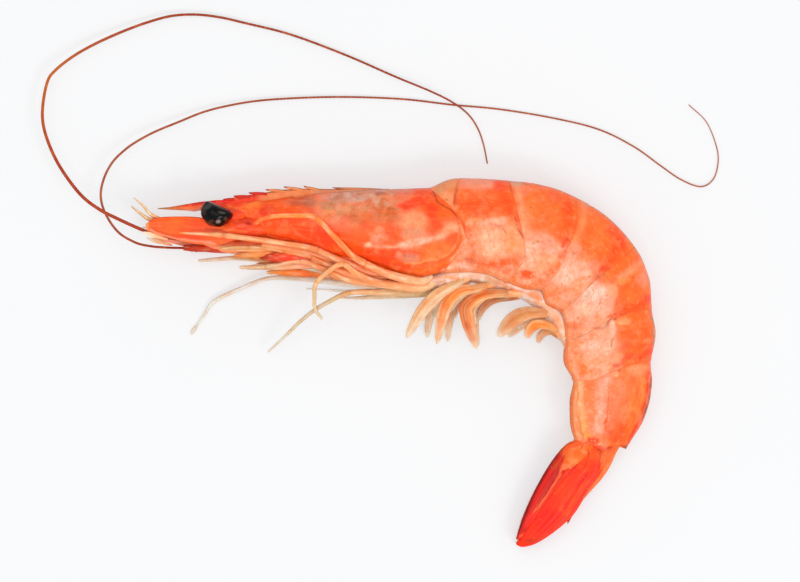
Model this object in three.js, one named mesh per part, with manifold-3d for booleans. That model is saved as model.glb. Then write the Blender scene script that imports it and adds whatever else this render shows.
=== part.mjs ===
// A whole cooked shrimp, head and shell on, lying on its right side.
// X runs from the whiskers' loop to the curve of the tail, Y from the legs to the back, Z up.
// The origin is under the middle of the whole outline, on the surface that the shrimp lies on.
// Heights inside the file are measured from the middle plane that halves the animal into left and right.
import * as THREE from 'three';
import Module from 'manifold-3d';

const wasm = await Module();
wasm.setup();

// Driving sizes, in millimetres.
const MIDDLE_HEIGHT = 8.0;
const SHELL_GAP = 0.3;
const CUT_GAP = 0.3;
const LIMB_GAP = 0.12;
const LIP_STEP = 0.35;
const CARAPACE_ROWS = 18;
const SEGMENT_ROWS = 2.5;
const LEAF_ROWS = 9;
const FLANK_STEPS = 11;
const EYE_ROWS = 9;
const EYE_SIDES = 12;
const LIMB_SIDES = 6;
const NUDGE = 0.02;
const SIDES = [['left', 1], ['right', -1]];

// How finely each kind of limb is divided: rows along it, and sides round it.
const FINENESS = {
  eyeStalk: [4, 8],
  antennule: [6, LIMB_SIDES],
  antennuleBranch: [5, 5],
  antennaBase: [7, 8],
  whisker: [60, LIMB_SIDES],
  mouth: [9, 10],
  stem: [3, LIMB_SIDES],
  outerBlade: [7, LIMB_SIDES],
  innerBlade: [5, LIMB_SIDES],
};

// The shell's section: an arc from the middle of the back to the lower edge of the flank.
const ARC_END = 0.78 * Math.PI;
const FLAP_INSET = 0.72;

// A rib crosses the shell at one station: the back, the lower edge, the half width, how far the
// middle plane has drooped there, and how far the rib bows tailwards a quarter, half and three quarters down.
const rib = (back, low, half, droop = 0, bows = [0, 0, 0]) => [...back, ...low, half, droop, ...bows];

const CARAPACE_RIBS = [
  rib([-34.0, 16.7], [-27.4, 9.4], 2.3),
  rib([-28.7, 17.3], [-22.1, 8.4], 3.7),
  rib([-20.4, 18.2], [-15.9, 7.2], 5.4),
  rib([-10.4, 19.3], [-7.8, 4.9], 7.0),
  rib([-0.6, 19.8], [1.0, 2.3], 7.8, 0, [0.8, 1.2, 0.9]),
  rib([6.9, 20.1], [8.2, 0.8], 8.1, 0, [2.2, 3.5, 2.7]),
  rib([10.9, 20.2], [13.5, 1.5], 8.15, 0, [3.7, 6.2, 4.8]),
];

const ABDOMEN_RIBS = [
  rib([10.9, 20.3], [13.6, 1.5], 8.1, 0, [3.7, 6.2, 4.8]),
  rib([16.8, 22.3], [21.9, 1.5], 8.3, 0, [2.4, 4.2, 4.2]),
  rib([28.3, 21.8], [27.8, -0.7], 8.3, 0, [1.4, 2.9, 3.6]),
  rib([36.0, 20.8], [31.6, -2.0], 8.3, 0, [1.7, 2.6, 2.8]),
  rib([43.0, 18.1], [35.1, -2.3], 8.25, 0, [2.0, 2.2, 2.0]),
  rib([49.8, 13.9], [36.4, -5.3], 8.2, 0.05, [1.0, 1.0, 1.0]),
  rib([56.0, 7.2], [39.5, -7.1], 8.0, 0.15, [0, -0.4, 0]),
  rib([59.1, 0.4], [40.4, -10.2], 7.8, 0.4, [-0.5, -0.7, 0]),
  rib([59.7, -6.4], [40.6, -13.5], 7.5, 0.75, [-1.0, -1.0, 0]),
  rib([60.6, -11.9], [40.5, -18.1], 7.0, 1.2, [-0.6, -0.4, 0.4]),
  rib([59.6, -17.7], [42.4, -22.1], 6.3, 1.9, [-0.2, 0.2, 0.8]),
  rib([59.8, -23.4], [41.8, -26.9], 5.9, 2.4),
  rib([58.2, -30.4], [42.1, -32.6], 5.1, 3.1),
  rib([54.2, -37.2], [43.7, -37.2], 4.2, 3.8, [-0.7, 0.2, -1.1]),
];

// Where each ring of the tail ends, as places in the list of ribs.
const RING_ENDS = [0, 2, 4, 6, 8, 10, 13];

// The beak: the height of its upper edge before and at each tooth, and the line of its lower edge.
const BEAK_TIP = [-49.0, 15.7];
const BEAK_TEETH = [
  [-34.4, 17.2, 17.9], [-32.3, 17.7, 18.5], [-29.0, 18.2, 19.2], [-25.3, 18.9, 19.9],
  [-21.3, 19.5, 20.6], [-16.9, 20.1, 20.7], [-10.7, 19.9, 20.5],
];
const BEAK_TOP_FRONT = [[-46.3, 16.0], [-43.0, 16.5], [-39.6, 17.0]];
const BEAK_TOP_BACK = [[-6.7, 20.0], [-0.6, 20.0]];
const BEAK_LOW = [
  [-49.0, 15.5], [-42.3, 15.3], [-41.5, 15.0], [-38.6, 15.5], [-32.7, 15.3], [-26.5, 15.8],
  [-10.4, 18.0], [-0.6, 18.9],
];
const BEAK_TOOTH_FRONT = 0.45;
const BEAK_HALF_TIP = 0.2;
const BEAK_HALF_BACK = 0.75;
const BEAK_SECTION = [[0, 0], [0.35, 1], [0.8, 1], [1, 0], [0.8, -1], [0.35, -1]];

// Head pieces of one side, seen from the left: the right ones are their mirror images, moved a little.
const EYE_CENTRE = [-36.2, 14.4, 3.5];
const EYE_RADII = [3.35, 2.6, 2.5];
const STALK_PATH = [[-37.0, 14.3, 3.2, 1.5], [-33.2, 14.1, 2.6, 1.5], [-30.4, 13.8, 1.6, 1.35]];
const SCALE_UPPER = [
  [-51.6, 12.3], [-49.2, 13.6], [-44.5, 13.9], [-39.7, 13.7], [-34.9, 12.6], [-31.2, 10.4],
];
const SCALE_LOWER = [
  [-51.6, 11.0], [-49.6, 10.1], [-45.9, 9.1], [-41.0, 7.9], [-35.5, 7.7], [-31.6, 8.8],
];
const SCALE_LEVELS = [2.2, 2.6, 2.9, 3.0, 2.9, 2.6];
const SCALE_HALF_THICKNESS = 0.3;
const RIGHT_SCALE_SHIFT = [0.8, -1.3];
const RIGHT_BASE_SHIFT = [0.2, -2.0];
const RIGHT_ANTENNULE_SHIFT = [0.1, -0.2];

const ANTENNULE_STEM = [
  [-49.4, 13.2, 1.3, 0.5], [-45.0, 12.9, 1.2, 0.75], [-40.8, 12.6, 1.1, 0.85], [-35.2, 12.2, 1.0, 0.95],
  [-30.6, 12.4, 0.8, 1.0],
];
const ANTENNULE_BRANCHES = [
  [
    [-54.2, 18.0, 2.4, 0.18], [-52.2, 16.3, 2.1, 0.28], [-50.7, 14.6, 1.8, 0.33],
    [-48.6, 13.4, 1.5, 0.35],
  ],
  [
    [-54.8, 16.2, 1.0, 0.18], [-52.9, 14.7, 1.0, 0.28], [-51.1, 13.5, 1.1, 0.33],
    [-48.8, 13.0, 1.2, 0.35],
  ],
];
const ANTENNA_BASE = [
  [-43.6, 9.0, 1.3, 0.55], [-41.0, 9.0, 1.2, 0.85], [-36.5, 9.3, 1.0, 1.2], [-31.5, 9.8, 0.8, 1.5],
  [-28.0, 10.6, 0.6, 1.5],
];

const LOOKS = {
  headShell: { color: 0xee5a2a, roughness: 0.35, metalness: 0 },
  tailShell: { color: 0xf2703c, roughness: 0.35, metalness: 0 },
  tailFan: { color: 0xd8341a, roughness: 0.4, metalness: 0 },
  eye: { color: 0x14100f, roughness: 0.15, metalness: 0 },
  eyeStalk: { color: 0xf0c2a4, roughness: 0.4, metalness: 0 },
  whisker: { color: 0xc94a34, roughness: 0.4, metalness: 0 },
  mouth: { color: 0xee5a2a, roughness: 0.5, metalness: 0 },
  limb: { color: 0xe8a37c, roughness: 0.45, metalness: 0 },
  swimmeret: { color: 0xf0c2a4, roughness: 0.5, metalness: 0 },
};

// Whiskers, as the lines that they follow over the surface: x, y, height over the surface.
const WHISKER_LEFT = [
  [-43.5, 8.8, 9.4], [-48.5, 9.6, 9], [-52.7, 11.1, 8.5], [-58, 13.5, 7.9], [-61.9, 15.5, 7.3],
  [-65.9, 18.6, 6.6], [-69.8, 23.6, 5.8], [-72.5, 28.5, 5.1], [-74.3, 33.8, 4.4], [-74.5, 38.4, 3.8],
  [-73.5, 43.7, 3.2], [-71.8, 46.2, 2.9], [-67.9, 49.3, 2.5], [-63.2, 52, 2.2], [-57.3, 54.7, 1.8],
  [-51.4, 56.9, 1.5], [-46.1, 58.3, 1.3], [-40.8, 58.6, 1.1], [-35.5, 58, 1], [-30.2, 56.8, 0.9],
  [-19.9, 54.2, 0.8], [-7.8, 49.7, 0.8], [3.2, 44.9, 1.2], [10.9, 41.7, 1.7], [15.7, 39.3, 1.9],
  [19.2, 36.7, 1.6], [21.4, 33.6, 0.9], [22.7, 30.1, 0.5], [23.6, 25.7, 0.3],
];
const WHISKER_RIGHT = [
  [-41.8, 6.9, 6.3], [-44.1, 7, 6.2], [-47.4, 7.1, 6.1], [-50.7, 7.4, 5.8], [-54, 8.2, 5.5],
  [-57.8, 10.5, 5.2], [-60.6, 14.5, 4.7], [-61.7, 18.4, 4.2], [-61, 22.4, 3.7], [-59.1, 26, 3.2],
  [-56.4, 28.7, 2.8], [-53.7, 30.6, 2.5], [-49.8, 32.7, 2.2], [-44.5, 34.9, 1.8], [-39.3, 37, 1.4],
  [-34, 38.4, 1.1], [-27.6, 39.5, 0.9], [-19.9, 40.1, 0.7], [-11.1, 40.4, 0.55], [-2.3, 40.3, 0.45],
  [6.5, 39.8, 0.4], [15.7, 38.7, 0.35], [26.3, 37.7, 0.35], [38.4, 35.7, 0.4], [48.3, 33.2, 0.5],
  [56, 29.4, 0.6], [61.9, 25.2, 0.6], [66.3, 22.2, 0.5], [70.7, 20.6, 0.4], [73.5, 22.2, 0.35],
  [74.6, 25.9, 0.3], [74.2, 29.6, 0.3], [72, 34.9, 0.3], [68.1, 38.7, 0.3],
];
const WHISKER_RADII = [0.42, 0.36, 0.3, 0.26, 0.22, 0.18, 0.14];

// Limbs of the head and thorax: x, y, height over the middle plane, and the radius there.
const MAXILLIPED_LEFT = [
  [-44.1, 10.3, 4.2, 0.3], [-35.3, 9.8, 4.4, 0.45], [-26.5, 8.7, 4.5, 0.5], [-17.7, 7.4, 4.9, 0.55],
  [-14.4, 6.7, 5.1, 0.6], [-11.1, 5.2, 5.2, 0.7], [-6.7, 3.3, 4.9, 0.8], [-1.9, 1.5, 4.0, 0.9],
  [1.5, 1.6, 3.2, 0.9],
];
const MAXILLIPED_RIGHT = [
  [-40.2, 4.2, -4.6, 0.3], [-36.4, 4.5, -4.6, 0.45], [-31.8, 4.8, -4.5, 0.5], [-26.1, 4.3, -4.5, 0.5],
  [-17.7, 3.4, -4.8, 0.6], [-8.9, 2.4, -5.0, 0.8], [-1.9, 1.6, -4.2, 0.9],
];
const LEG_1_LEFT = [
  [-34.9, 6.9, 2.6, 0.3], [-30.9, 7.1, 2.7, 0.45], [-26.1, 7.0, 2.8, 0.45], [-22.1, 6.4, 3.0, 0.5],
  [-17.7, 5.6, 3.3, 0.55], [-15.1, 5.0, 3.6, 0.6], [-10.9, 3.0, 3.8, 0.75], [-6.3, 1.2, 3.8, 0.9],
  [-0.5, 0.4, 3.2, 1.0], [2.5, 1.0, 2.6, 1.0],
];
const LEG_1_RIGHT = [
  [-24.8, 1.6, -3.2, 0.35], [-17.7, 1.7, -3.4, 0.5], [-13.3, 1.2, -3.6, 0.6], [-6.7, 0.4, -3.8, 0.9],
  [-0.9, 0.5, -3.2, 1.0],
];
const LEG_2_LEFT = [
  [-30.7, 2.7, 1.6, 0.3], [-26.1, 2.8, 2.2, 0.45], [-22.1, 3.3, 2.7, 0.5], [-19.5, 3.9, 2.9, 0.55],
  [-16.2, 3.8, 3.0, 0.6], [-12.2, 2.2, 3.0, 0.75], [-6.7, 0.0, 2.8, 0.95], [0.4, -0.7, 2.6, 1.05],
  [5.2, 0.2, 2.4, 1.0],
];
const LEG_2_RIGHT = [
  [-27.0, 3.4, -1.6, 0.35], [-20.9, 3.5, -1.8, 0.5], [-15.4, 2.7, -2.2, 0.65], [-9.8, 1.2, -2.6, 0.8],
  [-3.4, -0.4, -2.8, 1.0], [3.0, -0.4, -2.6, 1.0],
];
const LEG_3_LEFT = [
  [-27.3, 12.4, 5.3, 0.3], [-26.1, 13.2, 5.7, 0.42], [-23.0, 13.9, 6.3, 0.5], [-18.6, 14.0, 7.1, 0.52],
  [-14.4, 13.6, 7.8, 0.6], [-10.4, 9.7, 8.2, 0.62], [-6.6, 5.7, 7.6, 0.68], [-3.4, 3.5, 6.7, 0.8],
  [1.0, 1.5, 6.1, 0.9], [5.4, 0.2, 5.4, 1.0], [9.2, -0.3, 4.4, 1.1], [10.9, 0.8, 3.2, 1.1],
];
const LEG_3_RIGHT = [
  [-41.7, -11.7, -7.85, 0.22], [-39.0, -7.8, -7.6, 0.34], [-36.7, -4.7, -7.2, 0.44],
  [-30.9, -1.9, -6.6, 0.46], [-24.8, 0.3, -6.1, 0.5], [-17.7, 0.3, -5.7, 0.6], [-8.9, -0.6, -5.3, 0.8],
  [1.0, -1.2, -4.8, 1.0], [6.5, -0.4, -4.0, 1.0],
];
const LEG_4_LEFT = [
  [-12.9, -8.6, -1.0, 0.28], [-14.4, -6.4, 0.6, 0.42], [-14.5, -3.6, 2.3, 0.46],
  [-14.2, -0.9, 3.6, 0.5], [-11.7, 1.6, 4.8, 0.55], [-8.4, 3.4, 5.7, 0.62], [-5.2, 1.4, 5.6, 0.75],
  [-0.9, -0.6, 5.0, 0.9], [4.6, -1.4, 4.2, 1.05], [9.2, -1.6, 3.4, 1.1], [12.4, -0.2, 2.6, 1.1],
];
const LEG_4_RIGHT = [
  [-16.4, -2.0, -7.6, 0.3], [-10.9, -2.3, -7.3, 0.45], [-5.4, -2.6, -6.9, 0.6], [0.9, -2.3, -6.2, 0.8],
  [7.0, -1.9, -5.2, 1.0], [11.2, -0.6, -4.0, 1.0],
];
const LEG_5_LEFT = [
  [-24.8, -15.9, -5.2, 0.22], [-21.0, -12.4, -3.6, 0.34], [-17.7, -9.2, -2.0, 0.42],
  [-14.4, -6.6, -0.9, 0.46], [-11.1, -4.7, 0.1, 0.5], [-8.3, -3.3, 1.0, 0.55], [-5.4, -2.7, 1.4, 0.62],
  [-1.2, -2.7, 1.5, 0.75], [4.3, -2.6, 1.4, 0.95], [9.8, -2.5, 1.3, 1.1], [13.8, -1.8, 1.1, 1.2],
  [15.6, -0.2, 1.0, 1.2],
];
const LEG_5_RIGHT = [
  [-9.8, -3.9, -5.1, 0.3], [-5.4, -4.0, -4.6, 0.45], [-0.9, -3.7, -4.1, 0.6], [4.3, -3.3, -3.6, 0.8],
  [9.8, -2.8, -3.0, 1.0], [13.8, -1.7, -2.4, 1.1],
];
const MOUTH_PATH = [
  [-38.5, 8.2, 0, 0.7], [-34, 7.6, 0, 1.5], [-28, 6.8, 0, 2], [-21.5, 5.9, 0, 2.1], [-15, 4.9, 0, 1.9],
  [-9, 3.6, 0, 1.6], [-4.5, 2.6, 0, 1.2],
];

const MOUTH_TALL = 0.95;
const LIMBS = {
  maxilliped_left: MAXILLIPED_LEFT,
  maxilliped_right: MAXILLIPED_RIGHT,
  leg_3_left: LEG_3_LEFT,
  leg_3_right: LEG_3_RIGHT,
  leg_4_left: LEG_4_LEFT,
  leg_4_right: LEG_4_RIGHT,
  leg_5_left: LEG_5_LEFT,
  leg_5_right: LEG_5_RIGHT,
  leg_1_left: LEG_1_LEFT,
  leg_1_right: LEG_1_RIGHT,
  leg_2_left: LEG_2_LEFT,
  leg_2_right: LEG_2_RIGHT,
};

// Swimmerets: the main blade's line from the root, with half width in plan and half thickness.
const SWIMMERETS_LEFT = [
  [
    [21.6, 3, 2.6], [19.6, 0.9, 3.2], [16.6, -1, 3.9], [13, -3, 3.8], [9.4, -6.6, 2.4],
    [5.6, -12.8, -0.6],
  ],
  [
    [27.6, 1.4, 2.6], [25.4, -0.6, 3.2], [21, -1.9, 4], [17, -2.8, 4], [14.1, -6.4, 2.4],
    [12.4, -14.2, -0.8],
  ],
  [
    [34.2, -0.8, 2.6], [31.8, -2.6, 3.2], [27, -3.1, 4.2], [22.6, -3.3, 4.1], [18.9, -6.1, 2.6],
    [19.5, -10.2, 0.6], [21.2, -15.3, -1.4],
  ],
  [
    [40.2, -6.2, 2.4], [38, -7.2, 3], [34.6, -7.2, 3.9], [31.4, -7.5, 3.7], [28.4, -9.4, 2.6],
    [25.8, -12.6, 0.8],
  ],
  [
    [42, -12.8, 2.2], [40.2, -12.2, 2.6], [37.6, -10.4, 3.4], [34.8, -9.7, 3.1], [33, -10.6, 2.4],
    [32.2, -12.9, 0.8],
  ],
];
const SWIMMERETS_RIGHT = [
  [
    [21.7, 2.7, -2.6], [19.8, 0.4, -3.3], [16.7, -2.2, -4.2], [13.3, -4.4, -4.8], [11, -8, -5.6],
    [10.2, -12.8, -6.7],
  ],
  [
    [27.7, 1.1, -2.6], [25.6, -1.1, -3.3], [21.3, -2.9, -4.2], [17.6, -4.4, -5], [15.4, -8, -5.8],
    [14.8, -13.7, -6.8],
  ],
  [
    [34.3, -1.1, -2.6], [32, -3.1, -3.3], [27.6, -4, -4.3], [23.4, -5, -5], [20.8, -8.4, -5.8],
    [21.6, -14.6, -6.9],
  ],
  [
    [40.3, -7, -2.4], [38.4, -8.4, -3.2], [35.4, -8.8, -4.2], [32.6, -9.2, -4.9], [29.9, -10.6, -5.6],
    [28.2, -12.6, -6.3],
  ],
  [
    [42.1, -13.6, -2.2], [40.6, -13.2, -2.9], [38.6, -11.8, -3.8], [36.4, -11.5, -4.4],
    [35.2, -12.4, -5], [34.8, -14, -5.6],
  ],
];
const SWIMMERET_BLADE = [[0.9, 0.9], [1.0, 0.85], [1.25, 0.6], [1.35, 0.4], [1.2, 0.35], [0.45, 0.2]];
const INNER_BLADE_REACH = 0.8;
const INNER_BLADE_WIDTH = 0.75;
const INNER_BLADE_SPREAD = 1.3;
const INNER_BLADE_DEPTH = 1.1;
const BLADE_START = 0.3;
const SWIMMERET_STEM = [[1.15, 1.0], [1.0, 0.88], [0.85, 0.76], [0.7, 0.64]];
const STEM_REACH = 0.45;

// Tail fan, shut: each blade's two edges from the root to the tip, and heights over the drooped middle plane.
const TELSON_OUTER = [
  [53.2, -36.4], [52.3, -37.6], [50.6, -41.2], [48.6, -44.2], [45.2, -47.9], [43, -50.6], [41.7, -53.4],
];
const TELSON_INNER = [
  [48.4, -36.2], [47.8, -37.6], [47, -40.6], [45.6, -43.6], [44, -46.6], [42.4, -50], [41.1, -53.6],
];
const ENDOPOD_OUTER = [
  [47.6, -36.4], [48.3, -38.8], [48.2, -42.4], [45.6, -46.8], [42.6, -51.7], [38.8, -55.2], [34.6, -58],
  [31.6, -58.9], [30.1, -58.6],
];
const ENDOPOD_INNER = [
  [45, -36.2], [43.6, -38], [41.4, -40.8], [38.4, -44.5], [35.2, -49.4], [32.6, -53.8], [31, -56.6],
  [30.3, -57.8], [29.9, -58.2],
];
const EXOPOD_OUTER = [
  [45, -36.2], [44.4, -38.6], [43, -41.2], [39.8, -44.4], [36.8, -48.4], [33.6, -53.2], [30.6, -57.4],
];
const EXOPOD_INNER = [
  [43.4, -35.3], [41.2, -36.2], [38.9, -38.6], [36.3, -42.4], [33.6, -47.4], [31.4, -52.4],
  [29.9, -57.2],
];
const TAIL_DROOP = [3.7, 5.4];
const TELSON_HALF = [1.1, 0.35];
const BLADE_HALF = [0.42, 0.26];
const ENDOPOD_LEVELS = [2.0, 1.2];
const EXOPOD_LEVELS = [3.3, 2.2];

// A smooth curve through evenly numbered rows of values, read at a fractional place.
function smoothRow(rows, place) {
  const last = rows.length - 1;
  const start = Math.min(Math.max(Math.floor(place), 0), last - 1);
  const t = place - start;
  const b = rows[start];
  const c = rows[start + 1];
  const a = rows[start - 1] ?? b.map((value, k) => 2 * value - c[k]);
  const d = rows[start + 2] ?? c.map((value, k) => 2 * value - b[k]);
  return b.map((_, k) => {
    const slope = (c[k] - a[k]) * t;
    const bend = (2 * a[k] - 5 * b[k] + 4 * c[k] - d[k]) * t * t;
    const twist = (3 * b[k] - a[k] - 3 * c[k] + d[k]) * t ** 3;
    return b[k] + 0.5 * (slope + bend + twist);
  });
}

const mix = (a, b, t) => a + (b - a) * t;
const alongRows = (rows, share) => smoothRow(rows, share * (rows.length - 1));

// A closed body over a row of rings that all have the same number of points.
function loft(rings, startCap, endCap) {
  const count = rings[0].length;
  const positions = rings.flat(2);
  const index = [];
  for (let row = 0; row < rings.length - 1; row += 1) {
    for (let k = 0; k < count; k += 1) {
      const next = (k + 1) % count;
      const a = row * count + k;
      const b = row * count + next;
      index.push(a, b, b + count, a, b + count, a + count);
    }
  }
  const last = (rings.length - 1) * count;
  for (const [a, b, c] of startCap) index.push(c, b, a);
  for (const [a, b, c] of endCap) index.push(last + a, last + b, last + c);
  const geometry = new THREE.BufferGeometry();
  geometry.setAttribute('position', new THREE.Float32BufferAttribute(positions, 3));
  geometry.setIndex(index);
  return geometry;
}

const fan = (count) => Array.from({ length: count - 2 }, (_, k) => [0, k + 1, k + 2]);

function solidOf(geometry) {
  const vertProperties = new Float32Array(geometry.attributes.position.array);
  const triVerts = new Uint32Array(geometry.index.array);
  return new wasm.Manifold(new wasm.Mesh({ numProp: 3, vertProperties, triVerts }));
}

function geometryOf(solid) {
  const { vertProperties, triVerts, numProp } = solid.getMesh();
  const positions = [];
  for (let k = 0; k < vertProperties.length; k += numProp) positions.push(...vertProperties.slice(k, k + 3));
  const geometry = new THREE.BufferGeometry();
  geometry.setAttribute('position', new THREE.Float32BufferAttribute(positions, 3));
  geometry.setIndex(Array.from(triVerts));
  return geometry;
}

const largest = (solid) => solid.decompose().sort((a, b) => b.volume() - a.volume())[0];

// The ring of points round the shell: the back first, down the left flank, across the recessed
// belly between the two flaps, and up the right flank. Each is a share of the depth, a share of the half
// width, and which way its height goes where the shell is taken a little thicker.
const flankShare = (angle) => (1 - Math.cos(angle)) / (1 - Math.cos(ARC_END));
const leftFlank = Array.from({ length: FLANK_STEPS }, (_, k) => {
  const angle = (ARC_END * (k + 1)) / FLANK_STEPS;
  const swell = k === FLANK_STEPS - 1 ? 0 : Math.sin(angle);
  return [flankShare(angle), Math.sin(angle), swell];
});
const [flapDepth, flapWidth] = leftFlank[FLANK_STEPS - 2];
const rightFlank = leftFlank.map(([depth, width, swell]) => [depth, -width, -swell]).reverse();
const belly = [[flapDepth, FLAP_INSET * flapWidth, -1], [flapDepth, -FLAP_INSET * flapWidth, 1]];
const SHELL_RING = [[0, 0, 0], ...leftFlank, ...belly, ...rightFlank];

// Triangles that close the ring with strips straight across from left to right.
function shellCap() {
  const n = FLANK_STEPS;
  const right = (k) => (k === 0 ? 0 : 2 * n + 3 - k);
  const triangles = [[0, 1, right(1)]];
  for (let k = 1; k < n - 2; k += 1) {
    triangles.push([k, k + 1, right(k + 1)], [k, right(k + 1), right(k)]);
  }
  const level = n - 2;
  triangles.push([level, n - 1, n + 1], [level, n + 1, n + 2], [level, n + 2, right(n - 1)]);
  triangles.push([level, right(n - 1), right(level)], [n - 1, n, n + 1], [n + 2, right(n), right(n - 1)]);
  return triangles;
}
const SHELL_CAP = shellCap();

function shellRow(ribs, place, lip, slide, grow) {
  const [backX, backY, lowX, lowY, half, droop, ...bows] = smoothRow(ribs, place);
  const down = new THREE.Vector2(lowX - backX, lowY - backY);
  const depth = down.length();
  down.normalize();
  const bowRows = [[0], ...bows.map((bow) => [bow]), [0]];
  const inset = lip - grow;
  return SHELL_RING.map(([depthShare, widthShare, swell]) => {
    const along = inset + depthShare * (depth - 2 * inset);
    const [bow] = smoothRow(bowRows, (4 * along) / depth);
    const x = backX + down.x * along - down.y * (bow + slide);
    const y = backY + down.y * along + down.x * (bow + slide);
    const z = widthShare * (half - lip) + swell * grow - droop;
    return [x, y, Math.max(z, -MIDDLE_HEIGHT)];
  });
}

// A stretch of shell. Its front rim is narrower than the rear one, and starts a gap behind the ring before.
function shellStretch(ribs, from, to, rowCount, grow, lip, gap) {
  const rows = [];
  for (let row = 0; row <= rowCount; row += 1) {
    const share = row / rowCount;
    let slide = 0;
    if (row === 0) slide = gap - grow;
    if (row === rowCount) slide = grow;
    rows.push(shellRow(ribs, from + share * (to - from), lip * (1 - share) ** 2, slide, grow));
  }
  return solidOf(loft(rows, SHELL_CAP, SHELL_CAP));
}

// A round or oval limb along a line of rows: x, y, z, half width across the plan, half height.
function limbSolid(path, [rowCount, sides], grow) {
  const rings = [];
  for (let row = 0; row <= rowCount; row += 1) {
    const place = (row / rowCount) * (path.length - 1);
    const [x, y, z, wide, tall = wide] = smoothRow(path, place);
    const ahead = smoothRow(path, Math.min(place + NUDGE, path.length - 1));
    const behind = smoothRow(path, Math.max(place - NUDGE, 0));
    const along = new THREE.Vector3(...ahead).sub(new THREE.Vector3(...behind)).normalize();
    const across = new THREE.Vector3(-along.y, along.x, 0).normalize();
    const up = new THREE.Vector3().crossVectors(along, across);
    const endShift = row === 0 ? -grow : Number(row === rowCount) * grow;
    const centre = new THREE.Vector3(x, y, z).addScaledVector(along, endShift);
    rings.push(Array.from({ length: sides }, (_, k) => {
      const turn = (2 * Math.PI * (k + 0.5)) / sides;
      const point = centre.clone().addScaledVector(across, Math.cos(turn) * (wide + grow));
      point.addScaledVector(up, Math.sin(turn) * (tall + grow));
      point.z = Math.max(point.z, -MIDDLE_HEIGHT);
      return point.toArray();
    }));
  }
  return solidOf(loft(rings, fan(sides), fan(sides)));
}

// A thin leaf between two edges, lens-shaped across: heights and half thickness run from root to tip.
const LEAF_SHARES = [0, 0.2, 0.5, 0.8];
function leafSolid(edgeA, edgeB, heights, halves, grow) {
  const rings = [];
  for (let row = 0; row <= LEAF_ROWS; row += 1) {
    const share = row / LEAF_ROWS;
    const a = new THREE.Vector2(...alongRows(edgeA, share));
    const b = new THREE.Vector2(...alongRows(edgeB, share));
    const [height] = alongRows(heights, share);
    const [half] = alongRows(halves, share);
    const outward = a.clone().sub(b).normalize().multiplyScalar(grow);
    a.add(outward);
    b.sub(outward);
    const face = (shares, side) => shares.map((t) => {
      const bulge = side * (half + grow) * Math.sqrt(4 * t * (1 - t));
      return [mix(a.x, b.x, t), mix(a.y, b.y, t), Math.max(height + bulge, -MIDDLE_HEIGHT)];
    });
    rings.push([...face(LEAF_SHARES, 1), ...face(LEAF_SHARES.map((t) => 1 - t), -1)]);
  }
  const caps = fan(2 * LEAF_SHARES.length);
  return solidOf(loft(rings, caps, caps));
}

function beakSolid(grow) {
  const lowAt = (x) => {
    const k = Math.max(BEAK_LOW.findIndex(([px]) => px >= x), 1);
    const [ax, ay] = BEAK_LOW[k - 1];
    const [bx, by] = BEAK_LOW[k];
    return mix(ay, by, (x - ax) / (bx - ax));
  };
  const teeth = BEAK_TEETH.flatMap(([x, before, tip]) => [[x - BEAK_TOOTH_FRONT, before], [x, tip]]);
  const top = [BEAK_TIP, ...BEAK_TOP_FRONT, ...teeth, ...BEAK_TOP_BACK];
  const backX = top.at(-1)[0];
  const rings = top.map(([x, high]) => {
    const half = mix(BEAK_HALF_TIP, BEAK_HALF_BACK, (x - BEAK_TIP[0]) / (backX - BEAK_TIP[0])) + grow;
    const low = lowAt(x) - grow;
    return BEAK_SECTION.map(([share, side]) => [x, mix(high + grow, low, share), side * half]);
  });
  return solidOf(loft(rings, fan(BEAK_SECTION.length), fan(BEAK_SECTION.length)));
}

function ellipsoidSolid(centre, radii, grow) {
  const rings = [];
  for (let row = 1; row < EYE_ROWS; row += 1) {
    const polar = (Math.PI * row) / EYE_ROWS;
    rings.push(Array.from({ length: EYE_SIDES }, (_, k) => {
      const turn = (2 * Math.PI * k) / EYE_SIDES;
      return [
        centre[0] - Math.cos(polar) * (radii[0] + grow),
        centre[1] + Math.sin(polar) * Math.cos(turn) * (radii[1] + grow),
        centre[2] + Math.sin(polar) * Math.sin(turn) * (radii[2] + grow),
      ];
    }));
  }
  return solidOf(loft(rings, fan(EYE_SIDES), fan(EYE_SIDES)));
}

// A path is given for the left side. The right side is its mirror image, moved a little in plan.
function onOwnSide(path, sign, [dx, dy] = [0, 0]) {
  return sign > 0 ? path : path.map(([x, y, z, ...rest]) => [x + dx, y + dy, -z, ...rest]);
}
const shifted = (edge, [dx, dy]) => edge.map(([x, y]) => [x + dx, y + dy]);

function whiskerPath(line) {
  return line.map(([x, y, height], row) => {
    const [radius] = alongRows(WHISKER_RADII.map((r) => [r]), row / (line.length - 1));
    return [x, y, height - MIDDLE_HEIGHT, radius];
  });
}

function swimmeretSolid(path, sign, grow) {
  const lastOf = (rows) => rows.length - 1;
  const stem = SWIMMERET_STEM.map(([wide, tall], row) => {
    const share = STEM_REACH * (row / lastOf(SWIMMERET_STEM));
    return [...alongRows(path, share), wide, tall];
  });
  const outer = SWIMMERET_BLADE.map(([wide, tall], row) => {
    const share = mix(BLADE_START, 1, row / lastOf(SWIMMERET_BLADE));
    return [...alongRows(path, share), wide, tall];
  });
  const inner = SWIMMERET_BLADE.map(([wide, tall], row) => {
    const share = row / lastOf(SWIMMERET_BLADE);
    const [x, y, z] = alongRows(path, mix(BLADE_START, INNER_BLADE_REACH, share));
    const inwards = -sign * INNER_BLADE_DEPTH * share;
    return [x + INNER_BLADE_SPREAD * share, y, z + inwards, wide * INNER_BLADE_WIDTH, tall];
  });
  const outerBlade = limbSolid(outer, FINENESS.outerBlade, grow);
  const innerBlade = limbSolid(inner, FINENESS.innerBlade, grow);
  return limbSolid(stem, FINENESS.stem, grow).add(outerBlade).add(innerBlade);
}

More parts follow.
